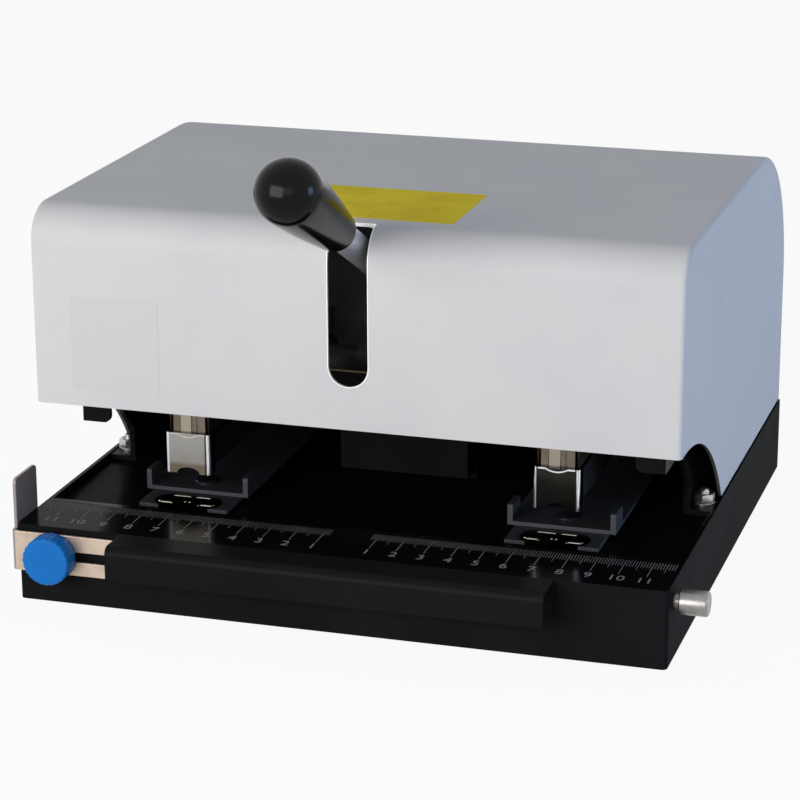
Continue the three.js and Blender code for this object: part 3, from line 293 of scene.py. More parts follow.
class Wire:
    """A value that runs through a material, on which sums can be written."""

    def __init__(self, nodes, socket):
        self.nodes = nodes
        self.socket = socket

    __add__, __radd__ = math_node("ADD"), math_node("ADD", swapped=True)
    __sub__, __rsub__ = math_node("SUBTRACT"), math_node("SUBTRACT", swapped=True)
    __mul__, __rmul__ = math_node("MULTIPLY"), math_node("MULTIPLY", swapped=True)
    __abs__, root = math_node("ABSOLUTE"), math_node("SQRT")
    at_least, at_most = math_node("MAXIMUM"), math_node("MINIMUM")

    def step_between(self, low, high):
        """0 below low, 1 above high and smooth between."""
        return self.nodes.node(
            "ShaderNodeMapRange", {"interpolation_type": "SMOOTHSTEP"}, self, low, high, 0.0, 1.0,
        )


def linear(red, green, blue):
    """A screen colour from 0 to 255 as the linear colour a shader takes, by the sRGB curve."""
    share = np.array([red, green, blue]) / 255
    value = np.where(share <= 0.04045, share / 12.92, ((share + 0.055) / 1.055) ** 2.4)
    return (*value.tolist(), 1.0)


class Nodes:
    """The nodes of a material or of the sky."""

    def __init__(self, tree):
        self.tree = tree

    def node(self, kind, settings=None, *inputs, out=0, **named):
        """Adds a node: its settings first, then the values or wires of its inputs; None leaves one out."""
        made = self.tree.nodes.new(kind)
        for word, value in (settings or {}).items():
            setattr(made, word, value)
        for key, value in list(enumerate(inputs)) + list(named.items()):
            socket = made.inputs[key if isinstance(key, int) else key.replace("_", " ")]
            if isinstance(value, Wire):
                self.tree.links.new(value.socket, socket)
            elif value is not None:
                socket.default_value = value
        return Wire(self, made.outputs[out])

    def mix(self, factor, first, second):
        """A colour between two, by a factor. The node keeps five sockets for other kinds between them."""
        others = [None] * 5
        return self.node("ShaderNodeMix", {"data_type": "RGBA"}, factor, *others, first, second, out=2)


class Finish(Nodes):
    """One material: constants go straight on the shader, everything else through node()."""

    def __init__(self, name, **constants):
        self.material = bpy.data.materials.new(name)
        self.material.use_nodes = True
        super().__init__(self.material.node_tree)
        self.shader = self.tree.nodes["Principled BSDF"]
        for word, value in constants.items():
            self.shader.inputs[word.replace("_", " ")].default_value = value

    def here(self):
        """Object coordinates in metres."""
        return self.node("ShaderNodeTexCoord", out="Object")

    def along(self, axis):
        """The place along axis X, Y or Z in the drawing's millimetres."""
        metres = self.node("ShaderNodeSeparateXYZ", None, self.here(), out=axis)
        return (metres - float(ORIGIN["XYZ".index(axis)])) * (1 / MM)

    def facing(self, axis):
        """How far the surface faces along an axis, from -1 to 1."""
        normal = self.node("ShaderNodeNewGeometry", out="Normal")
        return self.node("ShaderNodeSeparateXYZ", None, normal, out=axis)

    def upwards(self):
        """1 on faces that look up, 0 on walls."""
        return self.facing("Z").step_between(*UPWARD)

    def sideways(self):
        """1 on faces that look left or right, 0 on those square to them."""
        return abs(self.facing("X")).step_between(*SIDEWAYS)

    def noise(self, per_millimetre, detail=2.0, roughness=0.5, stretch=(1.0, 1.0, 1.0)):
        """Noise from 0 to 1 whose grain repeats that many times in a millimetre, drawn out by stretch."""
        place = self.node(
            "ShaderNodeMapping", None, self.here(), (0.0, 0.0, 0.0), (0.0, 0.0, 0.0), stretch,
        )
        return self.node(
            "ShaderNodeTexNoise", {"noise_dimensions": "3D"}, place,
            Scale=per_millimetre / MM, Detail=detail, Roughness=roughness,
        )

    def tint(self, share, colour):
        """Mixes a screen colour over the base colour that the shader has now, by a share."""
        now = Wire(self, self.shader.inputs["Base Color"].links[0].from_socket)
        return self.feed(Base_Color=self.mix(share, now, linear(*colour)))

    def feed(self, **wires):
        """Links wires to sockets of the shader."""
        for word, wire in wires.items():
            self.tree.links.new(wire.socket, self.shader.inputs[word.replace("_", " ")])
        return self

    def relief(self, height, depth_mm):
        """Tilts the surface by a height wire that is worth so many millimetres from 0 to 1."""
        bump = self.node(
            "ShaderNodeBump", None, Strength=1.0, Distance=depth_mm * MM, Height=height,
        )
        return self.feed(Normal=bump)

# %% [markdown]
# The hood is folded steel sheet, sprayed a warm pale silver. Close up, sprayed paint is never flat: it has a
# fine orange peel, cloudy patches of tone a few centimetres wide, and faint dust. The inside of the hood got
# only a thin pale coat. The tray and the frames are black, and the upward faces of the tray are the
# glossiest, because the wet paint levelled there: they carry a clear coat that fades out on the walls.

# %% Sprayed paints
# A noise is given by its grains in a millimetre, its detail and its roughness, and a step by its two ends.
PAINT_CLOUD, PAINT_CLOUD_STEP = (0.022, 3.0), (0.35, 0.68)
PAINT_DUST, PAINT_DUST_STEP, DUST_ROUGHNESS = (1.1, 2.0, 0.6), (0.74, 0.80), 0.25
PAINT_GLOSS, GLOSS_CHANGE, PAINT_PEEL = (0.05, 3.0), 0.08, (0.9, 2.0)


def sprayed(name, colour, cloud_colour, speck_colour, specks, roughness, peel_mm, specular, **constants):
    """Paint: base colour clouded by slow noise, specks of dust, a peel bump and uneven gloss."""
    finish = Finish(name, Specular_IOR_Level=specular, **constants)
    cloud = finish.noise(*PAINT_CLOUD).step_between(*PAINT_CLOUD_STEP)
    dust = finish.noise(*PAINT_DUST).step_between(*PAINT_DUST_STEP) * specks
    clouded = finish.mix(cloud, linear(*colour), linear(*cloud_colour))
    gloss = roughness + finish.noise(*PAINT_GLOSS) * GLOSS_CHANGE + dust * DUST_ROUGHNESS
    finish.feed(Base_Color=finish.mix(dust, clouded, linear(*speck_colour)), Roughness=gloss)
    return finish.relief(finish.noise(*PAINT_PEEL), peel_mm)


# Each paint: its colour, the colours of its clouds and specks, the share of specks, roughness, height of
# its peel in millimetres and specular level.
PAINTS = {
    "hood_paint": ((207, 207, 207), (203, 203, 204), (188, 186, 182), 0.3, 0.52, 0.003, 0.22),
    "hood_inside": ((186, 186, 188), (178, 178, 180), (170, 170, 170), 0.3, 0.6, 0.006, 0.1),
    "cover_paint": ((21, 21, 21), (25, 25, 25), (60, 60, 58), 0.3, 0.34, 0.004, 0.03),
    "frame_paint": ((16, 16, 18), (20, 20, 23), (52, 52, 54), 0.3, 0.3, 0.004, 0.05),
    "channel_paint": ((68, 70, 75), (75, 77, 82), (110, 112, 116), 0.3, 0.4, 0.004, 0.1),
    "bracket_paint": ((15, 15, 16), (19, 19, 20), (52, 52, 54), 0.3, 0.34, 0.004, 0.05),
    "lever_paint": ((112, 110, 110), (100, 98, 98), (130, 128, 126), 0.3, 0.4, 0.004, 0.2),
}
hood_paint, hood_inside, cover_paint, frame_paint, channel_paint, bracket_paint, lever_paint = [
    sprayed(name, *row) for name, row in PAINTS.items()
]
tray_paint = sprayed(
    "tray_paint", (25, 25, 26), (29, 29, 30), (50, 50, 52), 0.2, 0.4, 0.002, 0.002,
    Coat_Roughness=0.16, Coat_IOR=1.4,
)

# The slot's edge carries a painted highlight, a thin near-white and partly metallic line, and the hood's cut
# edges beside the arches are painted dark as painted shade.
SLOT_HALF, SLOT_ROUND_Z, SLOT_END, SLOT_CORNER = 7.3, 92.2, 30.8, 3.0
SLOT_HIGHLIGHT_WIDTH, SLOT_HIGHLIGHT_METAL = (0.12, 0.35), 0.6
ARCH_TOP_Z, ARCH_FADE, ARCH_REAR_Y = 69.0, 0.4, (140, 150)
below_round = (hood_paint.along("Z") - SLOT_ROUND_Z).at_most(0.0)
from_middle = hood_paint.along("X")
from_slot = (from_middle * from_middle + below_round * below_round).root() - SLOT_HALF
from_slot = from_slot.at_least(hood_paint.along("Y") - SLOT_END)
# Painted highlight: a thin bright line along the slot's edge.
slot_edge_highlight = 1 - from_slot.step_between(*SLOT_HIGHLIGHT_WIDTH)
# Painted shade on the hood's edges round the arches, which face down under the hood.
low_down = 1 - hood_paint.along("Z").step_between(ARCH_TOP_Z - ARCH_FADE, ARCH_TOP_Z)
beside_arch = 1 - hood_paint.along("Y").step_between(*ARCH_REAR_Y)
hood_paint.tint(low_down * (1 - hood_paint.sideways()) * beside_arch, (70, 68, 66))
hood_paint.tint(slot_edge_highlight, (250, 250, 250)).feed(Metallic=slot_edge_highlight * SLOT_HIGHLIGHT_METAL)

# The tray's upward faces carry the clear coat, which is thicker on the ledge than on the sunk floor, and they
# are painted darker than the walls as painted shade.
LEDGE_DOWN, LEDGE_COAT, FLOOR_COAT = (1.7, 0.7), 0.2, 0.06
tray_upward_shade_and_coat = tray_paint.upwards()
ledge = tray_paint.along("Z").step_between(*(TRAY_TOP - down for down in LEDGE_DOWN))
# Upward faces: painted shade in the colour, and the real clear coat.
tray_paint.tint(tray_upward_shade_and_coat, (9, 9, 11)).feed(Coat_Weight=tray_upward_shade_and_coat * (ledge * LEDGE_COAT + FLOOR_COAT))

# The channels' upward faces are painted darker, as painted shade, and the bracket's front plate has a painted
# highlight along its upper edge.
CREST_Z = (69.1, 69.3)
# Painted shade on the channels' upward faces.
channel_paint.tint(channel_paint.upwards(), (44, 45, 49))
# Painted highlight along the bracket's upper edge.
bracket_paint.tint(bracket_paint.along("Z").step_between(*CREST_Z), (210, 190, 160))
print("paints:", len(PAINTS) + 1)

# %% [markdown]
# Plated steel keeps the fine marks of how it was made: the guide was drawn through rollers, so its scratches
# run along it; nuts and pins are zinc plated, slightly cloudy and yellowish; the caps are bright chrome with
# faint wipe marks; the upper bodies are nickel plated and a little brown with handling.

# %% Plated metals
STAIN_CLOUD, STAIN_STEP, STAIN_SHARE = (0.12, 3.0, 0.55), (0.4, 0.72), 0.8
SCRATCHES, SCRATCH_ROUGHNESS, STAIN_ROUGHNESS = (2.2, 3.0, 0.6), 0.14, 0.06


def plated(name, colour, stain, roughness, scratch_stretch, scratch_mm, metallic):
    """Metal: a stain in slow clouds, and scratches as noise drawn out along one direction."""
    finish = Finish(name, Metallic=metallic)
    cloud = finish.noise(*STAIN_CLOUD).step_between(*STAIN_STEP)
    scratch = finish.noise(*SCRATCHES, scratch_stretch)
    finish.feed(
        Base_Color=finish.mix(cloud * STAIN_SHARE, linear(*colour), linear(*stain)),
        Roughness=roughness + scratch * SCRATCH_ROUGHNESS + cloud * STAIN_ROUGHNESS,
    )
    return finish.relief(scratch, scratch_mm)


ALL_WAYS = (1.0, 1.0, 1.0)
ALONG_GUIDE, ALONG_PIN, ALONG_ROD = (0.03, 1.0, 1.0), (0.05, 1.0, 1.0), (1.0, 0.1, 1.0)
DOWN_BLADE, DOWN_CAP = (1.0, 1.0, 0.08), (1.0, 1.0, 0.1)
# Each metal: its colour, its stain, roughness, how its scratches are drawn out, their depth in
# millimetres and how metallic it is.
METALS = {
    "guide_steel": ((196, 178, 160), (172, 154, 138), 0.3, ALONG_GUIDE, 0.003, 0.75),
    "zinc_plate": ((196, 196, 192), (160, 158, 150), 0.2, ALL_WAYS, 0.002, 0.95),
    "turned_steel": ((150, 148, 145), (122, 120, 117), 0.24, ALONG_PIN, 0.003, 0.9),
    "dark_steel": ((70, 71, 75), (50, 50, 54), 0.34, ALL_WAYS, 0.003, 0.8),
    "rod_chrome": ((222, 222, 224), (196, 196, 198), 0.26, ALONG_ROD, 0.0005, 0.6),
    "nickel_plate": ((112, 102, 92), (84, 74, 64), 0.3, DOWN_BLADE, 0.002, 0.9),
    "boss_steel": ((74, 76, 84), (60, 62, 70), 0.22, ALL_WAYS, 0.001, 0.9),
    "spring_wire": ((120, 122, 126), (90, 90, 94), 0.25, ALL_WAYS, 0.001, 0.9),
    "clinch_steel": ((34, 30, 28), (24, 21, 20), 0.1, ALL_WAYS, 0.0008, 1.0),
}
(
    guide_steel, zinc_plate, turned_steel, dark_steel, rod_chrome, nickel_plate, boss_steel, spring_wire,
    clinch_steel,
) = [plated(name, *row) for name, row in METALS.items()]

# The guide's stop plate is the same steel as its strip, painted darker and less metallic: a painted dark
# reflection of the black tray it faces.
STOP_SHEET, STRIP_METAL, STOP_LESS = (1.3, 1.6), 0.75, 0.6
stop_x = drawn("side_guide")[0][0]
stop = 1 - guide_steel.along("X").step_between(*(stop_x + sheet for sheet in STOP_SHEET))
guide_steel.tint(stop, (147, 134, 127)).feed(Metallic=STRIP_METAL - stop * STOP_LESS)

# The driver plate's raised tongue is painted brighter than the rest of the strip.
PROUD, TONGUE_FADE = 0.3, 0.05
tongue_y = drawn("driver_blade_left")[0][1] + PROUD / 2
brighter_tongue = 1 - nickel_plate.along("Y").step_between(tongue_y - TONGUE_FADE, tongue_y)
nickel_plate.tint(brighter_tongue, (150, 142, 128))

# The clinch plates' grooves are worn to bright steel by the staples, up to the plates' oval rims.
CLINCH_Y, CLINCH_HALF = 42.3, (12.7, 8.7)
GROOVE_DOWN, OVAL_RIM = (0.5, 0.2), (0.93, 0.96)
HEAD_X = {"left": -70.0, "right": 70.0}
clinch_top = drawn("clinch_plate_left")[1][2]
sunk = 1 - clinch_steel.along("Z").step_between(*(clinch_top - down for down in GROOVE_DOWN))
oval_x = (abs(clinch_steel.along("X")) - HEAD_X["right"]) * (1 / CLINCH_HALF[0])
oval_y = (clinch_steel.along("Y") - CLINCH_Y) * (1 / CLINCH_HALF[1])
inside_rim = 1 - (oval_x * oval_x + oval_y * oval_y).step_between(*OVAL_RIM)
clinch_steel.tint(sunk * inside_rim, (240, 232, 214))

CAP_FRONT_Y, CAP_TOP_Z, CAP_BEND = 43.0, 54.0, 1.4
CAP_SCRATCH_MM, CAP_LOWER_Z, CAP_BEHIND = 0.0006, (41.4, 43.2), (1.5, 2.0)
BOW_RISE, BOW_CURVE, EDGE_DOWN, EDGE_WIDTH, EDGE_END = 1.1, 0.06, 0.3, (0.2, 0.35), (6.6, 7.0)
CORNER, DARK_BEND_INNER, DARK_BEND_OUTER = (7.25, 7.5), (6.5, 6.7), (7.1, 7.25)
# Painted highlight on the bent corners, painted dark reflection beside one of them, painted shadow behind the
# front sheet.
CORNER_HIGHLIGHT, DARK_BEND_REFLECTION, SHADOW_COLOUR = (232, 234, 240), (30, 30, 36), (24, 24, 28)


def cap_chrome(side, face, lower, stain, roughness, bowed, dark_bend_share):
    """Chrome of one cap with its light painted on: painted highlights on its bent corners, and on its bowed
    upper edge by a given share. A painted dark reflection of a given share runs beside one corner. The flat
    face's colours are painted reflections, darker below, and what lies behind the front sheet is in its
    shadow."""
    finish = plated(f"cap_chrome_{side}", face, stain, roughness, DOWN_CAP, CAP_SCRATCH_MM, 1.0)
    from_middle = finish.along("X") - HEAD_X[side]
    across = abs(from_middle)
    height = finish.along("Z")
    bow = BOW_RISE * (1 - (across * across * BOW_CURVE).at_most(1.0))
    edge = 1 - abs(height + bow - CAP_TOP_Z + EDGE_DOWN).step_between(*EDGE_WIDTH)
    edge = edge * bowed * (1 - across.step_between(*EDGE_END))
    shaded = from_middle.step_between(*DARK_BEND_INNER) * (1 - from_middle.step_between(*DARK_BEND_OUTER)) * dark_bend_share
    # Painted reflections on the face and its lower part, painted highlights on the corners and upper edge,
    # and a painted dark reflection beside one corner.
    finish.tint(1 - height.step_between(*CAP_LOWER_Z), lower)
    finish.tint(across.step_between(*CORNER).at_least(edge), CORNER_HIGHLIGHT).tint(shaded, DARK_BEND_REFLECTION)
    behind = finish.along("Y").step_between(*(CAP_FRONT_Y + depth for depth in CAP_BEHIND))
    return finish.tint(behind, SHADOW_COLOUR)


# Each cap: its face and its lower part, both painted reflections, its stain, roughness, share of painted
# highlight on its upper edge and share of painted dark reflection beside its corner.
CAP_FINISH = {
    "left": cap_chrome("left", (150, 148, 143), (116, 106, 92), (132, 126, 116), 0.3, 0.3, 0.9),
    "right": cap_chrome("right", (46, 46, 42), (38, 38, 35), (34, 34, 32), 0.1, 1.0, 0.0),
}
print("metals:", len(METALS) + len(CAP_FINISH))

# %% [markdown]
# The knob is moulded blue plastic with a soft sheen, the grip is polished black plastic as smooth as a
# billiard ball, and the feet are matt rubber with a powdery bloom. The ruler is printed in pale grey ink, and
# a plain yellow film sticks on the hood's top.

# %% Plastics rubber ink and film
FLOW, FLOW_STEP, GRAIN_DETAIL, GRAIN_ROUGHNESS = (0.08, 4.0, 0.6), (0.35, 0.75), 2.0, 0.08


def moulded(name, colour, paler, roughness, grain_per_mm, grain_mm, specular):
    """Plastic: nearly one colour, with a faint flow pattern and a fine moulded grain."""
    finish = Finish(name, Specular_IOR_Level=specular)
    flow = finish.noise(*FLOW).step_between(*FLOW_STEP)
    grain = finish.noise(grain_per_mm, GRAIN_DETAIL)
    finish.feed(
        Base_Color=finish.mix(flow, linear(*colour), linear(*paler)),
        Roughness=roughness + grain * GRAIN_ROUGHNESS,
    )
    return finish.relief(grain, grain_mm)


# Each material: its colour, the colour of its flow lines, roughness, grains in a millimetre, their depth
# in millimetres and specular level.
PLASTICS = {
    "knob_plastic": ((20, 106, 184), (26, 114, 192), 0.4, 3.0, 0.003, 0.12),
    "grip_plastic": ((8, 8, 9), (12, 12, 13), 0.12, 0.6, 0.0010, 0.13),
    "foot_rubber": ((26, 26, 27), (38, 38, 38), 0.82, 2.4, 0.02, 0.5),
    "ruler_ink": ((140, 138, 136), (112, 111, 110), 0.6, 1.4, 0.002, 0.1),
    "yellow_film": ((250, 226, 56), (236, 210, 46), 0.6, 0.7, 0.003, 0.04),
    "clear_film": ((202, 203, 200), (203, 204, 201), 0.5, 0.5, 0.003, 0.22),
}
knob_plastic, grip_plastic, foot_rubber, ruler_ink, yellow_film, clear_film = [
    moulded(name, *row) for name, row in PLASTICS.items()
]
print("plastics, ink and films:", len(PLASTICS))

# %% [markdown]
# The portrait was taken from the front right and a little above with a long lens, so the camera stands about
# a metre away. Its place was solved from the ruler's marks, whose spacing is known.

# %% Stand the camera
YAW, PITCH, ROLL = math.radians(17.009), math.radians(17.569), math.radians(-0.221)
CAMERA_PLACE = (293.79, -878.03, 379.34)
SENSOR_MM, LENS_MM, NEAR = 36.0, 126.85, 0.01
ahead = np.array([
    -math.sin(YAW) * math.cos(PITCH), math.cos(YAW) * math.cos(PITCH), -math.sin(PITCH),
])
level = np.array([math.cos(YAW), math.sin(YAW), 0.0])
upward = np.cross(level, ahead)
right = math.cos(ROLL) * level + math.sin(ROLL) * upward
top = -math.sin(ROLL) * level + math.cos(ROLL) * upward
camera_data = bpy.data.cameras.new("portrait")
camera_data.sensor_width = SENSOR_MM
camera_data.lens = LENS_MM
camera_data.clip_start = NEAR
camera = in_scene("portrait", camera_data)
pose = np.eye(4)
pose[:3] = np.stack([right, top, -ahead, in_frame(CAMERA_PLACE)], 1)
camera.matrix_world = Matrix(pose.tolist())
bpy.context.scene.camera = camera
print("camera at", np.round(pose[:3, 3], 3))

# %% [markdown]
# A plain studio: a white floor, a broad low lamp in front and a little to the left, a cool one at the right,
# a faint warm window beside the camera whose light reaches into the lever's slot, and a dim sky. The low
# lamp is what leaves the top darker than the front. A lamp of P watts at d metres renders a white surface
# that faces it at P / (pi^2 d^2), so each lamp is given the share of full brightness that it adds. The
# background is white because the floor and the sky are white to the camera, not because more light falls on
# the object. The floor keeps the object's shadow.

# %% Light the studio
MIDDLE = np.array([0.0, 100.0, 70.0])


def lamp(name, direction, distance, size, share, colour):
    """A rectangular soft lamp in a direction from the object's middle; distance and size in metres."""
    data = bpy.data.lights.new(name, "AREA")
    data.shape = "RECTANGLE"
    data.size, data.size_y = size
    data.energy = share * math.pi**2 * distance**2
    data.color = colour
    light = in_scene(name, data)
    direction = np.array(direction, float) / np.linalg.norm(direction)
    place, aim = Vector(in_frame(MIDDLE + direction * distance / MM)), Vector(in_frame(MIDDLE))
    light.location = place
    light.rotation_euler = (aim - place).to_track_quat("-Z", "Y").to_euler()


# Each lamp: its direction, distance and size in metres, share of full brightness and colour.
LAMPS = {
    "front_lamp": ((-0.36, -0.92, 0.25), 1.9, (1.4, 1.0), 0.71, (1.0, 0.992, 0.98)),
    "window": ((0.24, -0.92, 0.33), 1.2, (0.55, 0.4), 0.065, (1.0, 0.93, 0.84)),
    "right_lamp": ((0.97, 0.02, 0.16), 1.6, (0.5, 0.5), 0.29, (0.36, 0.57, 1.0)),
}
for name, row in LAMPS.items():
    lamp(name, *row)

SKY_LIGHT, WHITE = (0.225, 0.24, 0.272, 1.0), (1.0, 1.0, 1.0, 1.0)
FLOOR_GREY, FLOOR_GLOW, FLOOR_Z = (0.85, 0.85, 0.85, 1.0), 0.93, -2.5
FLOOR_LEFT, FLOOR_RIGHT, FLOOR_FRONT, FLOOR_REAR = -6000.0, 6000.0, -6000.0, 8000.0


def watched(nodes_here):
    """1 where the camera, a reflection or a view through glass meets the surface, else 0."""
    camera_ray, glossy_ray, through_ray = [
        nodes_here.node("ShaderNodeLightPath", out=f"Is {word} Ray")
        for word in ("Camera", "Glossy", "Transmission")
    ]
    return (camera_ray + glossy_ray + through_ray).at_most(1.0)


world = bpy.data.worlds.new("studio")
world.use_nodes = True
bpy.context.scene.world = world
sky = Nodes(world.node_tree)
sky_shader = sky.tree.nodes["Background"]
sky_shader.inputs["Strength"].default_value = 1.0
sky.tree.links.new(sky.mix(watched(sky), SKY_LIGHT, WHITE).socket, sky_shader.inputs["Color"])

floor_corners = np.stack(np.meshgrid(
    [FLOOR_LEFT, FLOOR_RIGHT], [FLOOR_FRONT, FLOOR_REAR], [FLOOR_Z], indexing="ij",
), -1)
floor_white = Finish("floor_white", Base_Color=FLOOR_GREY, Roughness=0.9, Specular_IOR_Level=0.1)
surface = floor_white.node(
    "ShaderNodeMixShader", None, watched(floor_white) * FLOOR_GLOW,
    Wire(floor_white, floor_white.shader.outputs[0]), floor_white.node("ShaderNodeEmission"),
)
floor_white.tree.links.new(surface.socket, floor_white.tree.nodes["Material Output"].inputs["Surface"])
floor_mesh = Skin().grid(floor_corners[:, :, 0]).mesh("floor", False, floor_white)
floor = in_scene("floor", floor_mesh)
bpy.context.scene.view_settings.view_transform = "Standard"
print("lamps:", len(LAMPS))

# %% [markdown]
# The hood is one skin. Its side view is carried across the width, and at each end the fold between the wrap
# and the side panel is a bend of 1.8 mm: at fold angle a, the side view shrinks by r (1 - cos a) while the
# section moves out by r sin a. The side panels end below in a large arch, cut so that the hands can reach
# the paper. The same shape a sheet's thickness further in is then taken out, and the lever's slot after it.

# %% Shape the hood
HOOD_HALF = 119.4
HOOD_SHEET = 1.2
HOOD_FRONT, HOOD_TOP = 20.0, 142.0
HOOD_FRONT_BOTTOM, HOOD_BOTTOM, ROOM_BOTTOM = 69.1, 29.7, -8.0
SHOULDER, REAR_BEND, FOLD, FOLD_STEPS = 13.0, 60.0, 1.8, 8
ARCH_RADIUS, ARCH_BEHIND, ARCH_EXTRA_LEFT = 87.7, 5.4, 5.0


def hood_outline(inset, arch_extra=0.0, open_below=False):
    """Side view (y, z) of the hood, inset by a distance: arch, rear, top and front, in that order."""
    front, crown, rear = HOOD_FRONT + inset, HOOD_TOP - inset, TRAY_DEPTH - inset
    upper = np.concatenate([
        bend((rear - REAR_BEND + inset, crown - REAR_BEND + inset), REAR_BEND - inset, 0, 90, steps=40),
        bend((front + SHOULDER - inset, crown - SHOULDER + inset), SHOULDER - inset, 90, 180, steps=16),
    ])
    if open_below:
        return np.concatenate([[[front, ROOM_BOTTOM], [rear, ROOM_BOTTOM]], upper])
    arch_y = HOOD_FRONT + ARCH_BEHIND + arch_extra
    arch_z = HOOD_FRONT_BOTTOM - math.sqrt(ARCH_RADIUS**2 - (arch_y - HOOD_FRONT) ** 2)
    start = math.degrees(math.acos((front - arch_y) / ARCH_RADIUS))
    end = math.degrees(math.asin((HOOD_BOTTOM - arch_z) / ARCH_RADIUS))
    arch = bend((arch_y, arch_z), ARCH_RADIUS, start, end, steps=56)
    return np.concatenate([arch, [[rear, HOOD_BOTTOM]], upper])


def carried(stations, outlines):
    """Outlines (y, z) set at their stations along x, as rows of one closed grid with flat ends."""
    rows = np.stack([
        np.column_stack([np.full(len(outline), x), outline]) for x, outline in zip(stations, outlines)
    ])
    return Skin().grid(rows, close_columns=True).outline(rows[0]).outline(rows[-1])


fold_angle = np.radians(np.linspace(90, 0, FOLD_STEPS + 1))
fold_x = HOOD_HALF - FOLD + FOLD * np.sin(fold_angle)
fold_inset = FOLD * (1 - np.cos(fold_angle))
hood_stations = np.concatenate([-fold_x, fold_x[::-1]])
hood_insets = np.concatenate([fold_inset, fold_inset[::-1]])
hood_outlines = [
    hood_outline(inset, ARCH_EXTRA_LEFT if x < 0 else 0.0)
    for x, inset in zip(hood_stations, hood_insets)
]
hood_mesh = carried(hood_stations, hood_outlines).mesh("hood_skin", finish=hood_paint)
room = hood_outline(HOOD_SHEET, open_below=True)
room_half = HOOD_HALF - HOOD_SHEET
room_mesh = carried([-room_half, room_half], [room, room]).mesh("hood_room", finish=hood_inside)
print("hood grid:", len(hood_mesh.vertices), "points")

# %% [markdown]
# The slot's lower end is a full round and its upper end, on the top, has small corners. The tool that cuts
# it is where a round-ended bar seen from the front and a round-cornered bar seen from above overlap. The
# cut gives the slot's walls the tool's finish, the hood paint with its painted highlight on the slot's edge,
# and the hood's inside keeps its pale coat.

# %% Cut the slot
def prism(outline, axis, low, high):
    """A closed outline (a, b) drawn out along axis 1 (y) or 2 (z) between two places."""
    rows = []
    for place in (low, high):
        a, b = np.asarray(outline, float).T
        level = np.full(len(a), float(place))
        rows.append(np.stack([a, level, b] if axis == 1 else [a, b, level], 1))
    rows = np.stack(rows)
    return Skin().grid(rows, close_columns=True).outline(rows[0]).outline(rows[1])


def cut(mesh, tool, operation):
    """The mesh after an exact cut with a tool mesh; both are in metres and each keeps its finish."""
    body, knife = in_scene("cut_body", mesh), in_scene("cut_tool", tool)
    modifier = body.modifiers.new("cut", "BOOLEAN")
    modifier.object, modifier.operation, modifier.solver = knife, operation, "EXACT"
    modifier.material_mode = "TRANSFER"
    seen_now = bpy.context.evaluated_depsgraph_get()
    result = bpy.data.meshes.new_from_object(body.evaluated_get(seen_now))
    for thing in (body, knife):
        bpy.data.objects.remove(thing)
    return result


TOOL_Y, TOOL_Z, TOOL_SPARE = (10.0, 40.0), (80.0, 165.0), 1
wide, straight_end = SLOT_HALF + TOOL_SPARE, SLOT_END - SLOT_CORNER - TOOL_SPARE
inner = SLOT_HALF - SLOT_CORNER
from_front = np.concatenate([
    bend((0.0, SLOT_ROUND_Z), SLOT_HALF, 180, 360, steps=24),
    [[SLOT_HALF, TOOL_Z[1] - TOOL_SPARE], [-SLOT_HALF, TOOL_Z[1] - TOOL_SPARE]],
])
from_above = np.concatenate([
    [[-wide, TOOL_Y[0]], [wide, TOOL_Y[0]], [wide, straight_end]],
    bend((inner, SLOT_END - SLOT_CORNER), SLOT_CORNER, 0, 90),
    bend((-inner, SLOT_END - SLOT_CORNER), SLOT_CORNER, 90, 180),
    [[-wide, straight_end]],
])
slot_tool = cut(
    prism(from_front, 1, *TOOL_Y).mesh("slot_front", finish=hood_paint),
    prism(from_above, 2, *TOOL_Z).mesh("slot_above", finish=hood_paint), "INTERSECT",
)
hood_mesh = cut(cut(hood_mesh, room_mesh, "DIFFERENCE"), slot_tool, "DIFFERENCE")
even_normals(make_piece(
    "hood_skin", hood_mesh, "base", None,
    ("hood_wrap", "hood_panel_left", "hood_panel_right"), sharp_degrees=34,
))
print("hood skin:", len(hood_mesh.polygons), "faces in", [m.name for m in hood_mesh.materials])

# %% [markdown]
# The lever is a chromed rod that leaves the hub under the hood and ends in a black grip. The grip starts as a
# narrow neck, swells along a slightly convex line and closes in a half ball. Both are turned about the
# lever's own line, which rises 27 degrees towards the front at rest and runs a little below the shaft.

# %% Turn the rod and the grip
LEVER_RISE, LINE_DROP = math.radians(27.1), 7.45
LEVER_LINE = np.array([0.0, -math.cos(LEVER_RISE), math.sin(LEVER_RISE)])
shaft_low, shaft_high = drawn("lever_shaft")
PIVOT = (shaft_low + shaft_high) / 2 * [0, 1, 1]
LINE_START = PIVOT - LINE_DROP * np.array([0.0, math.sin(LEVER_RISE), math.cos(LEVER_RISE)])
ROD_RADIUS, ROD_START, ROD_EDGE, ROD_FIT = 5.2, 12.1, 0.4, 0.06
GRIP_START, GRIP_LENGTH, BORE_DEPTH, BORE_SPARE = 141.7, 53.8, 41.0, 0.1
NECK_RADIUS, NECK_EDGE, BALL_RADIUS = 7.4, 0.8, 11.48
SWELL, SWELL_FROM, SWELL_POINTS = 1.4, 0.02, 28

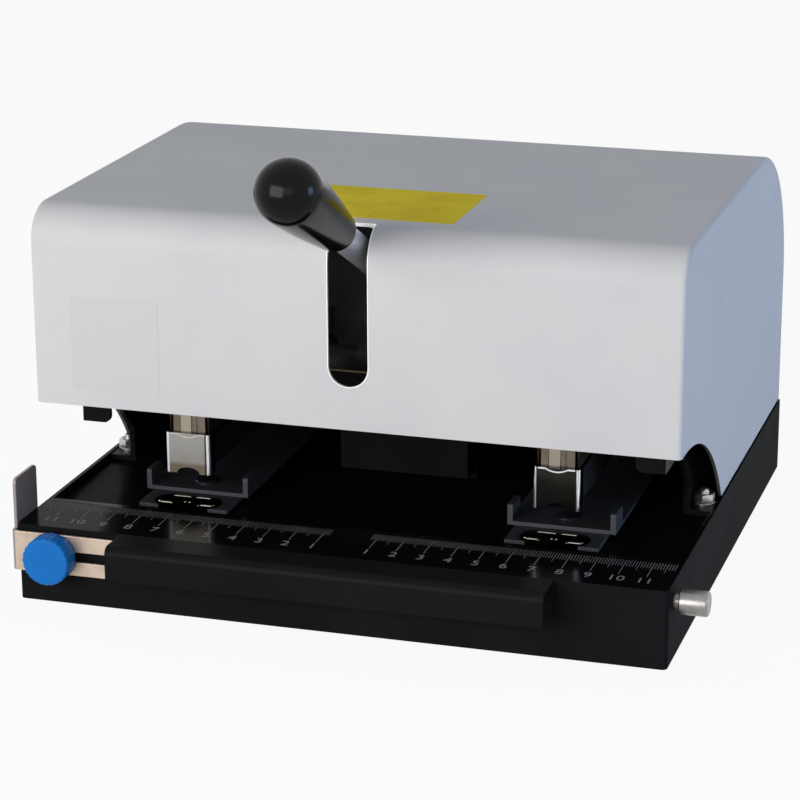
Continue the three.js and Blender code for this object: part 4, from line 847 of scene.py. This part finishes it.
bore_end = GRIP_START + BORE_DEPTH
rod_end = bore_end - BORE_SPARE
rod_profile = np.concatenate([
    [[ROD_START, 0.0]], bend((ROD_START + ROD_EDGE, ROD_RADIUS - ROD_EDGE), ROD_EDGE, 180, 90, steps=3),
    [[rod_end, ROD_RADIUS], [rod_end, 0.0]],
])
skin_over("lever_rod", turned(rod_profile, LINE_START, LEVER_LINE), "lever", rod_chrome)
share = np.linspace(SWELL_FROM, 1.0, SWELL_POINTS)
ball_centre = GRIP_START + GRIP_LENGTH
grip_profile = np.concatenate([
    [[bore_end, 0.0], [bore_end, ROD_RADIUS + ROD_FIT]],
    [[GRIP_START, ROD_RADIUS + ROD_FIT], [GRIP_START, NECK_RADIUS - NECK_EDGE]],
    bend((GRIP_START + NECK_EDGE, NECK_RADIUS - NECK_EDGE), NECK_EDGE, 180, 100, steps=5),
    np.column_stack([
        GRIP_START + share * GRIP_LENGTH,
        NECK_RADIUS + (BALL_RADIUS - NECK_RADIUS) * (1 - (1 - share) ** SWELL),
    ]),
    bend((ball_centre, 0.0), BALL_RADIUS, 90, 0, steps=32)[1:],
])
grip_profile[-1, 1] = 0.0
skin_over(
    "lever_grip", turned(grip_profile, LINE_START, LEVER_LINE, sides=128), "lever",
    grip_plastic, sharp_degrees=40,
)
print("grip reaches", np.round(LINE_START + LEVER_LINE * (ball_centre + BALL_RADIUS), 1))

# %% [markdown]
# The knob is fluted: its radius is the outer radius less depth ((1 - cos(n a)) / 2)^1.4, where a is the angle
# and n the number of flutes. They fade out on the bevel, so that the knob's face stays a plain disc.

# %% Flute the knob
CLAMP_X, GUIDE_Z = -105.0, 19.1
knob_low, knob_high = drawn("clamp_knob")
KNOB_RADIUS, KNOB_BEVEL, FLUTE_DEPTH, FLUTES, FLUTE_POWER = 9.0, 1.1, 0.2, 24, 1.4
FADE_START, FADE_LENGTH = 0.92, 0.07
KNOB_FACE, KNOB_DEPTH = 5.6, 7.78
# The knob's side from its bevel to its back: depth, and how much smaller than the knob it is there.
KNOB_SIDE = [(4.0, 0.0), (7.2, 0.0), (7.7, 0.4), (KNOB_DEPTH, 2.0), (KNOB_DEPTH, KNOB_RADIUS)]


def fluted(radius, angle):
    """Outer radius less the flutes, which fade out on the bevel round the knob's face."""
    share = np.clip((radius / KNOB_RADIUS - FADE_START) / FADE_LENGTH, 0, 1)
    wave = (0.5 - 0.5 * np.cos(FLUTES * angle)) ** FLUTE_POWER
    return radius - FLUTE_DEPTH * share * wave


knob_profile = np.concatenate([
    [[0.0, 0.0], [0.0, KNOB_FACE]],
    bend((KNOB_BEVEL, KNOB_RADIUS - KNOB_BEVEL), KNOB_BEVEL, 180, 90),
    [[depth, KNOB_RADIUS - less] for depth, less in KNOB_SIDE],
])
skin_over(
    "clamp_knob", turned(knob_profile, (CLAMP_X, knob_low[1], GUIDE_Z), (0, 1, 0), sides=384, ripple=fluted),
    "clamp_knob_body", knob_plastic, sharp_degrees=50,
)
print("knob", np.round(knob_high - knob_low, 2))

# %% [markdown]
# The thumb pin is turned steel: a narrow neck next to the wall, a plain barrel and a bevelled end with a
# shallow dish.

# %% Turn the thumb pin
pin_low, pin_high = drawn("side_pin")
PIN_Y, PIN_Z = (pin_low[1] + pin_high[1]) / 2, (pin_low[2] + pin_high[2]) / 2
FLANGE_RADIUS, FLANGE, STEM_RADIUS, NECK_OF_PIN, BARREL = 4.0, 1.6, 2.4, 3.0, 4.5
NECK_CLEAR, NECK_END, BARREL_EDGE, BARREL_BEVEL = 0.3, 2.0, 0.5, 0.9
DISH_RADIUS, DISH_RIM, DISH_DEPTH = 2.8, 0.15, 0.25
wall, pin_start, pin_end = TRAY_WIDTH / 2, pin_low[0], pin_high[0]
barrel_start = wall + NECK_END
pin_profile = np.concatenate([
    [[pin_start, 0.0], [pin_start, FLANGE_RADIUS]],
    [[pin_start + FLANGE, FLANGE_RADIUS], [pin_start + FLANGE, STEM_RADIUS]],
    [[wall + NECK_CLEAR, STEM_RADIUS], [wall + NECK_CLEAR, NECK_OF_PIN], [barrel_start, NECK_OF_PIN]],
    bend((barrel_start + BARREL_EDGE, BARREL - BARREL_EDGE), BARREL_EDGE, 180, 90, steps=4),
    bend((pin_end - BARREL_BEVEL, BARREL - BARREL_BEVEL), BARREL_BEVEL, 90, 0, steps=6),
    [[pin_end - DISH_RIM, DISH_RADIUS], [pin_end - DISH_DEPTH, 0.0]],
])
skin_over(
    "side_pin", turned(pin_profile, (0.0, PIN_Y, PIN_Z), (1, 0, 0)), "side_pin_body",
    turned_steel,
)
print("thumb pin stands out", round(float(pin_end - wall), 2), "mm")

# %% [markdown]
# The ruler is printed on the ledge: millimetre, half and whole centimetre marks that start on one line, and
# the numbers 1 to 11 on both sides of the middle. Ink has hardly any thickness, so the marks are bars three
# hundredths of a millimetre high, and the numbers are text turned to a mesh of the same height.

# %% Print the ruler
INK = 0.03
FIRST_MARK, LAST_MARK, LAST_NUMBER, CENTIMETRE = 8, 118, 11, 10
MARK_LINE_Y, NUMBER_Y, NUMBER_SIZE, NUMBER_STEPS = 25.6, 7.7, 6.4, 4
CENTIMETRE_MARK, HALF_MARK, MILLIMETRE_MARK = 14.0, 8.6, 5.8
BROAD_HALF, FINE_HALF = 0.13, 0.10
millimetre = np.arange(FIRST_MARK, LAST_MARK + 1)
whole, half = millimetre % CENTIMETRE == 0, millimetre % (CENTIMETRE // 2) == 0
mark_long = np.tile(np.where(whole, CENTIMETRE_MARK, np.where(half, HALF_MARK, MILLIMETRE_MARK)), 2)
mark_half = np.tile(np.where(whole, BROAD_HALF, FINE_HALF), 2)
mark_x = np.concatenate([millimetre, -millimetre]).astype(float)
on_ledge = np.full(len(mark_x), TRAY_TOP)
ruler = Skin().bars(
    np.stack([mark_x - mark_half, MARK_LINE_Y - mark_long, on_ledge], 1),
    np.stack([mark_x + mark_half, np.full(len(mark_x), MARK_LINE_Y), on_ledge + INK], 1),
).mesh("ruler_print")
gather = bmesh.new()
gather.from_mesh(ruler)
for number in range(1, LAST_NUMBER + 1):
    words = bpy.data.curves.new("number", "FONT")
    words.body = str(number)
    words.size = NUMBER_SIZE * MM
    words.align_x, words.align_y = "CENTER", "CENTER"
    words.extrude = INK / 2 * MM
    words.resolution_u = NUMBER_STEPS
    holder = in_scene("number", words)
    shape = bpy.data.meshes.new_from_object(
        holder.evaluated_get(bpy.context.evaluated_depsgraph_get())
    )
    bpy.data.objects.remove(holder)
    for way in (-1, 1):
        place = Vector(in_frame([way * CENTIMETRE * number, NUMBER_Y, TRAY_TOP + INK / 2]))
        moved = shape.copy()
        moved.transform(Matrix.Translation(place))
        gather.from_mesh(moved)
bmesh.ops.remove_doubles(gather, verts=gather.verts, dist=WELD / 2)
gather.to_mesh(ruler)
gather.free()
make_piece("ruler_print", ruler, "base", ruler_ink)
print("ruler:", len(mark_x), "marks,", len(ruler.polygons), "faces")

# %% [markdown]
# Two films stick on the hood. The yellow one on the top is plain here, and so is the clear one at the front
# left, which shows only as a faintly duller rectangle. Each is a thin slab with its corners barely rounded.

# %% Stick the films on the hood
def rounded(low, high, radius):
    """Outline (a, b) of a rectangle with rounded corners, from its low and high corners."""
    corners = [(high[0], high[1]), (low[0], high[1]), (low[0], low[1]), (high[0], low[1])]
    middle = (np.array(low) + high) / 2
    return np.concatenate([
        bend(corner - radius * np.sign(corner - middle), radius, 90 * quarter, 90 * quarter + 90, steps=4)
        for quarter, corner in enumerate(np.array(corners))
    ])


FILM = 0.08
YELLOW_LOW, YELLOW_HIGH, YELLOW_CORNER = (-27.0, 37.3), (33.4, 82.4), 0.6
CLEAR_LOW, CLEAR_HIGH, CLEAR_CORNER = (-104.8, 75.0), (-71.0, 110.0), 0.4
yellow = prism(rounded(YELLOW_LOW, YELLOW_HIGH, YELLOW_CORNER), 2, HOOD_TOP, HOOD_TOP + FILM)
clear = prism(rounded(CLEAR_LOW, CLEAR_HIGH, CLEAR_CORNER), 1, HOOD_FRONT - FILM, HOOD_FRONT)
make_piece("yellow_film", yellow.mesh("yellow_film"), "base", yellow_film)
make_piece("clear_film", clear.mesh("clear_film"), "base", clear_film)
print("films", FILM, "mm thick")

# %% [markdown]
# Under each head a dark oval clinch plate bends the staple's legs. Its top is a height field over an oval:
# a square grid (s, t) is squeezed to a disc by x = a s sqrt(1 - t^2 / 2), y = b t sqrt(1 - s^2 / 2), and each
# groove lowers it by depth times sqrt(1 - (d / r)^2), where d is the distance from the groove's middle
# line. Two small dimples sit between the rows. The rims of the grooves catch the light as bright strokes.

# %% Press the clinch plates
# Each groove: its middle (x, y), the half length of its straight part and its radius.
GROOVES = [
    (-4.1, 4.3, 2.9, 0.75), (4.1, 4.3, 2.3, 0.75), (-8.0, -3.4, 1.9, 0.75), (8.0, -3.4, 1.9, 0.75),
    (-0.9, -1.5, 0.0, 0.7), (0.8, -1.5, 0.0, 0.7), (-10.6, -2.6, 0.0, 0.5), (10.6, -2.6, 0.0, 0.5),
    (-5.2, -4.2, 0.0, 0.5), (5.2, -4.2, 0.0, 0.5),
]
GROOVE_DEPTH, RIM_HEIGHT, RIM_WIDTH = 0.6, 0.1, 0.22
CLINCH_ROWS, CLINCH_COLUMNS = 170, 130


def clinch_skin(centre_x, low_z, top_z):
    """Height field top, wall and flat base of one clinch plate."""
    s, t = np.meshgrid(np.linspace(-1, 1, CLINCH_ROWS), np.linspace(-1, 1, CLINCH_COLUMNS), indexing="ij")
    x = CLINCH_HALF[0] * s * np.sqrt(1 - t**2 / 2)
    y = CLINCH_HALF[1] * t * np.sqrt(1 - s**2 / 2)
    z = np.full_like(x, top_z - RIM_HEIGHT)
    for groove_x, groove_y, half, radius in GROOVES:
        away = np.hypot(np.maximum(np.abs(x - groove_x) - half, 0), y - groove_y)
        z -= GROOVE_DEPTH * np.sqrt(np.clip(1 - (away / radius) ** 2, 0, 1))
        z += RIM_HEIGHT * np.exp(-(((away - radius - RIM_WIDTH) / RIM_WIDTH) ** 2))
    z = np.minimum(z, top_z)
    top = np.stack([x + centre_x, y + CLINCH_Y, z], -1)
    rim = np.concatenate([top[:-1, 0], top[-1, :-1], top[:0:-1, -1], top[0, :0:-1]])
    foot = rim * [1, 1, 0] + [0, 0, low_z]
    return Skin().grid(top).grid(np.stack([rim, foot]), close_columns=True).outline(foot)


for node in both_sides("clinch_plate"):
    low, high = drawn(node)
    clinch = skin_over(
        node, clinch_skin((low[0] + high[0]) / 2, low[2], high[2]), "base", clinch_steel,
        sharp_degrees=40,
    )
print("clinch plate:", len(clinch.data.polygons), "faces")

# %% [markdown]
# Hex nuts are turned from hexagon bar, so the lathe leaves a cone on their corners. At angle a the bar's
# radius is across / (2 cos(a folded into 30 degrees)), and the cone starts lower where that radius is larger.
# The screw's end stands out of the nut with its thread as fine rings.

# %% Turn nuts on their screws
NUT_ACROSS, NUT_HEIGHT, NUT_SIDES, FLAT_SHARE, CONE_DEGREES = 7.0, 3.4, 96, 0.97, 32
WASHER_RADIUS, WASHER_HEIGHT, WASHER_EDGE, WASHER_SIDES = 4.0, 0.8, 0.1, 64
SHANK_RADIUS, SHANK_SIDES, THREAD_PITCH, THREAD_DEPTH, THREAD_END = 1.9, 32, 0.6, 0.16, 0.5
SCREW_OUT, MOUTH_RADIUS, MOUTH_DEPTH = 1.6, 2.3, 0.3


def nut_skin(low, high):
    """Hex nut with its cones and the screw's threaded end, its washer and the shank below its seat."""
    centre = upright_line(low, high)
    angle = np.linspace(0, 2 * math.pi, NUT_SIDES, endpoint=False)
    folded = (angle + math.pi / 6) % (math.pi / 3) - math.pi / 6
    hexagon = NUT_ACROSS / 2 / np.cos(folded)
    flat_radius = NUT_ACROSS / 2 * FLAT_SHARE
    cone = (hexagon - flat_radius) * math.tan(math.radians(CONE_DEGREES))
    top = high[2] - SCREW_OUT
    bottom = top - NUT_HEIGHT
    seat = bottom - WASHER_HEIGHT

    def ring(radius, z):
        """Points at a radius and height, each given for the whole ring or for each angle."""
        return np.stack([radius * np.cos(angle), radius * np.sin(angle), z + 0 * angle], 1) + centre

    thread_z = np.arange(top - MOUTH_DEPTH, high[2] - THREAD_END, THREAD_PITCH / 4)
    turns = (thread_z - top) / THREAD_PITCH
    thread = SHANK_RADIUS - THREAD_DEPTH * (0.5 - 0.5 * np.cos(2 * math.pi * turns))
    points = np.stack([
        ring(0, bottom), ring(flat_radius, bottom), ring(hexagon, bottom + cone), ring(hexagon, top - cone),
        ring(flat_radius, top), ring(MOUTH_RADIUS, top), ring(SHANK_RADIUS, top - MOUTH_DEPTH),
        *[ring(radius, z) for z, radius in zip(thread_z, thread)],
        ring(SHANK_RADIUS - THREAD_END, high[2]), ring(0, high[2]),
    ])
    washer = turned([
        (seat, 0.0), (seat, WASHER_RADIUS - WASHER_EDGE), (seat + WASHER_EDGE, WASHER_RADIUS),
        (bottom - WASHER_EDGE, WASHER_RADIUS), (bottom, WASHER_RADIUS - WASHER_EDGE), (bottom, 0.0),
    ], centre, (0, 0, 1), WASHER_SIDES)
    shank = turned([
        (low[2], 0.0), (low[2], SHANK_RADIUS), (seat, SHANK_RADIUS), (seat, 0.0),
    ], centre, (0, 0, 1), SHANK_SIDES)
    screwed = Skin().grid(points, close_columns=True)
    for part in (washer, shank):
        screwed.add(part.points[0], part.faces)
    return screwed


for node in [
    f"{stem}_{end}" for kind in ("frame_bolt", "bracket_bolt") for stem in both_sides(kind) for end in ENDS
]:
    nut = skin_over(node, nut_skin(*drawn(node)), "base", zinc_plate, sharp_degrees=28)
print("nut:", len(nut.data.polygons), "faces")

# %% [markdown]
# The plate that drives the staple shows above the cap. Seen from above its front has a raised tongue left of
# the middle and a thin rib right of it, both pressed into one strip of nickel plated steel, so it is one
# outline carried down the strip.

# %% Press the driver plates
TONGUE, TONGUE_SLOPE, RIB_X, RIB_HALF = (-3.2, 0.8), 0.3, 3.0, 0.25


def driver_outline(low_x, high_x, tip, back):
    """Outline (x, y) of the strip: flat back, front with its tongue and rib."""
    middle, front = (low_x + high_x) / 2, tip + PROUD
    tongue_start, tongue_end, rib = middle + TONGUE[0], middle + TONGUE[1], middle + RIB_X
    return np.array([
        (low_x, back), (low_x, front), (tongue_start - TONGUE_SLOPE, front), (tongue_start, tip),
        (tongue_end, tip), (tongue_end + TONGUE_SLOPE, front), (rib - RIB_HALF, front),
        (rib, front - PROUD / 2), (rib + RIB_HALF, front), (high_x, front), (high_x, back),
    ])


for side in SIDES:
    node = f"driver_blade_{side}"
    low, high = drawn(node)
    strip = prism(driver_outline(low[0], high[0], low[1], high[1]), 2, low[2], high[2])
    skin_over(node, strip, f"driver_{side}", nickel_plate, sharp_degrees=20)
print("driver plate", np.round(high - low, 2))

# %% [markdown]
# The boss of each anvil screw is a low dark disc with a bevelled rim, and the bevel is what shines.

# %% Turn the anvil screws' heads
# The head's bevelled rim: places under its top, and how much smaller than the head it is there.
BOSS_RIM = [(0.9, 0.0), (0.45, 0.0), (0.1, 0.35), (0.0, 0.7)]
SCREW_POINT = 0.4
for node in both_sides("anvil_screw"):
    low, high = drawn(node)
    head_radius, top_z = (high[0] - low[0]) / 2, high[2]
    screw_profile = [
        (low[2], 0.0), (low[2], SHANK_RADIUS - SCREW_POINT), (low[2] + SCREW_POINT, SHANK_RADIUS),
        (top_z - BOSS_RIM[0][0], SHANK_RADIUS),
        *[(top_z - under, head_radius - less) for under, less in BOSS_RIM], (top_z, 0.0),
    ]
    screw = turned(screw_profile, upright_line(low, high), (0, 0, 1), sides=72)
    skin_over(node, screw, "base", boss_steel, sharp_degrees=25)
print("bosses", round(float(head_radius), 2))

# %% [markdown]
# A compression spring under each magazine lifts it again. Its wire is wound on a helix: at turn t the middle
# line is at angle 2 pi t, and the height stays level over the first and last seven tenths of a turn, where
# the ends are closed, and rises evenly between.

# %% Wind the return springs
SPRING_TURNS, CLOSED_TURNS, SPRING_WIRE, SPRING_KEPT = 4, 0.7, 0.5, 0.65
STEPS_PER_TURN, WIRE_SIDES = 40, 12


def spring_skin(low, high):
    """Round wire along the helix, its two ends flat."""
    turn = np.linspace(0, SPRING_TURNS, SPRING_TURNS * STEPS_PER_TURN + 1)[:, None]
    around = np.linspace(0, 2 * math.pi, WIRE_SIDES, endpoint=False)[None, :]
    reach = (high[0] - low[0]) / 2 - SPRING_WIRE + SPRING_WIRE * np.cos(around)
    climb = np.clip((turn - CLOSED_TURNS) / (SPRING_TURNS - 2 * CLOSED_TURNS), 0, 1)
    height = low[2] + SPRING_WIRE + climb * (high[2] - low[2] - 2 * SPRING_WIRE)
    points = upright_line(low, high) + np.stack([
        reach * np.cos(2 * math.pi * turn), reach * np.sin(2 * math.pi * turn),
        height + SPRING_WIRE * np.sin(around),
    ], -1)
    return Skin().grid(points, close_columns=True).outline(points[0]).outline(points[-1])


for side in SIDES:
    node = f"return_spring_{side}"
    low, high = drawn(node)
    spring = skin_over(
        node, spring_skin(low, high), "base", spring_wire, sharp_degrees=50,
    )
    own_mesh(spring)
print("spring:", len(spring.data.polygons), "faces")

# %% [markdown]
# The tray, the rail cover, the guide, the frames and the heads are sheet metal whose solids are right, so
# their copies only get broken edges, at widths that fit each sheet.

# %% Break the sheet metal's edges
BODY_OF = {
    node: body for body, members in frame["record"]["behaviour"]["bodies"].items() for node in members
}
CORNER_HEIGHT, FRONT_SPARE = 3, 0.1


def cap_corners(start, end):
    """Picks the upright edges at the cap's front, where the sheet is bent round its corners."""
    upright = np.abs(end[:, 2] - start[:, 2]) > CORNER_HEIGHT
    front = CAP_FRONT_Y + FRONT_SPARE
    return upright & (start[:, 1] < front) & (end[:, 1] < front)


# Each row: nodes, finish, slot, width of the broken edge in millimetres and its steps. The caps add which
# edges are bent and how wide the bend is.
SHEETS = [
    (["base_pan"], tray_paint, "base_black", 0.7, 3),
    (["front_rail_cover"], cover_paint, "base_black", 0.25, 2),
    (["bottom_plate"], frame_paint, "base_black", 0.2, 2),
    (["side_guide"], guide_steel, "guide_steel", 0.18, 2),
    (both_sides("side_frame"), frame_paint, "frame_black", 0.3, 2),
    (["lever_bracket"], bracket_paint, "inner_grey", 0.3, 2),
    (both_sides("anvil_plate"), channel_paint, "inner_grey", 0.2, 2),
    (both_sides("anvil_channel"), channel_paint, "inner_grey", 0.25, 2),
    (["staple_tray_left"], CAP_FINISH["left"], "chrome", 0.12, 5, cap_corners, CAP_BEND),
    (["staple_tray_right"], CAP_FINISH["right"], "chrome", 0.12, 5, cap_corners, CAP_BEND),
    (both_sides("driver_arm"), nickel_plate, "nickel", 0.15, 2),
    (both_sides("magazine"), dark_steel, "dark_steel", 0.12, 2),
]
softened_nodes = []
for names, finish, slot, *edges in SHEETS:
    for node in names:
        softened_nodes.append(softened(node, finish, slot, BODY_OF[node], *edges))
print("softened copies:", len(softened_nodes))

# %% [markdown]
# The small inner pieces keep their solids and only get their plating, paint or rubber.

# %% Finish the inner pieces
KEPT_SOLIDS = [
    ([f"{stem}_{index}" for stem in both_sides("hood_screw") for index in (1, 2)], zinc_plate),
    (both_sides("head_pin") + ["clamp_stud", "steady_pin", "cover_rivet", "lever_shaft"], zinc_plate),
    (["lever_hub", "press_bar"] + both_sides("yoke_arm"), lever_paint),
    (both_sides("follower"), dark_steel),
    ([f"{stem}_{end}" for stem in both_sides("foot") for end in ENDS], foot_rubber),
]
for names, finish in KEPT_SOLIDS:
    for node in names:
        nodes[node].data.materials.clear()
        nodes[node].data.materials.append(finish.material)
print("solids that stay:", sum(len(names) for names, _ in KEPT_SOLIDS))

# %% [markdown]
# The last line brings the scene up to date.


bpy.context.view_layer.update()
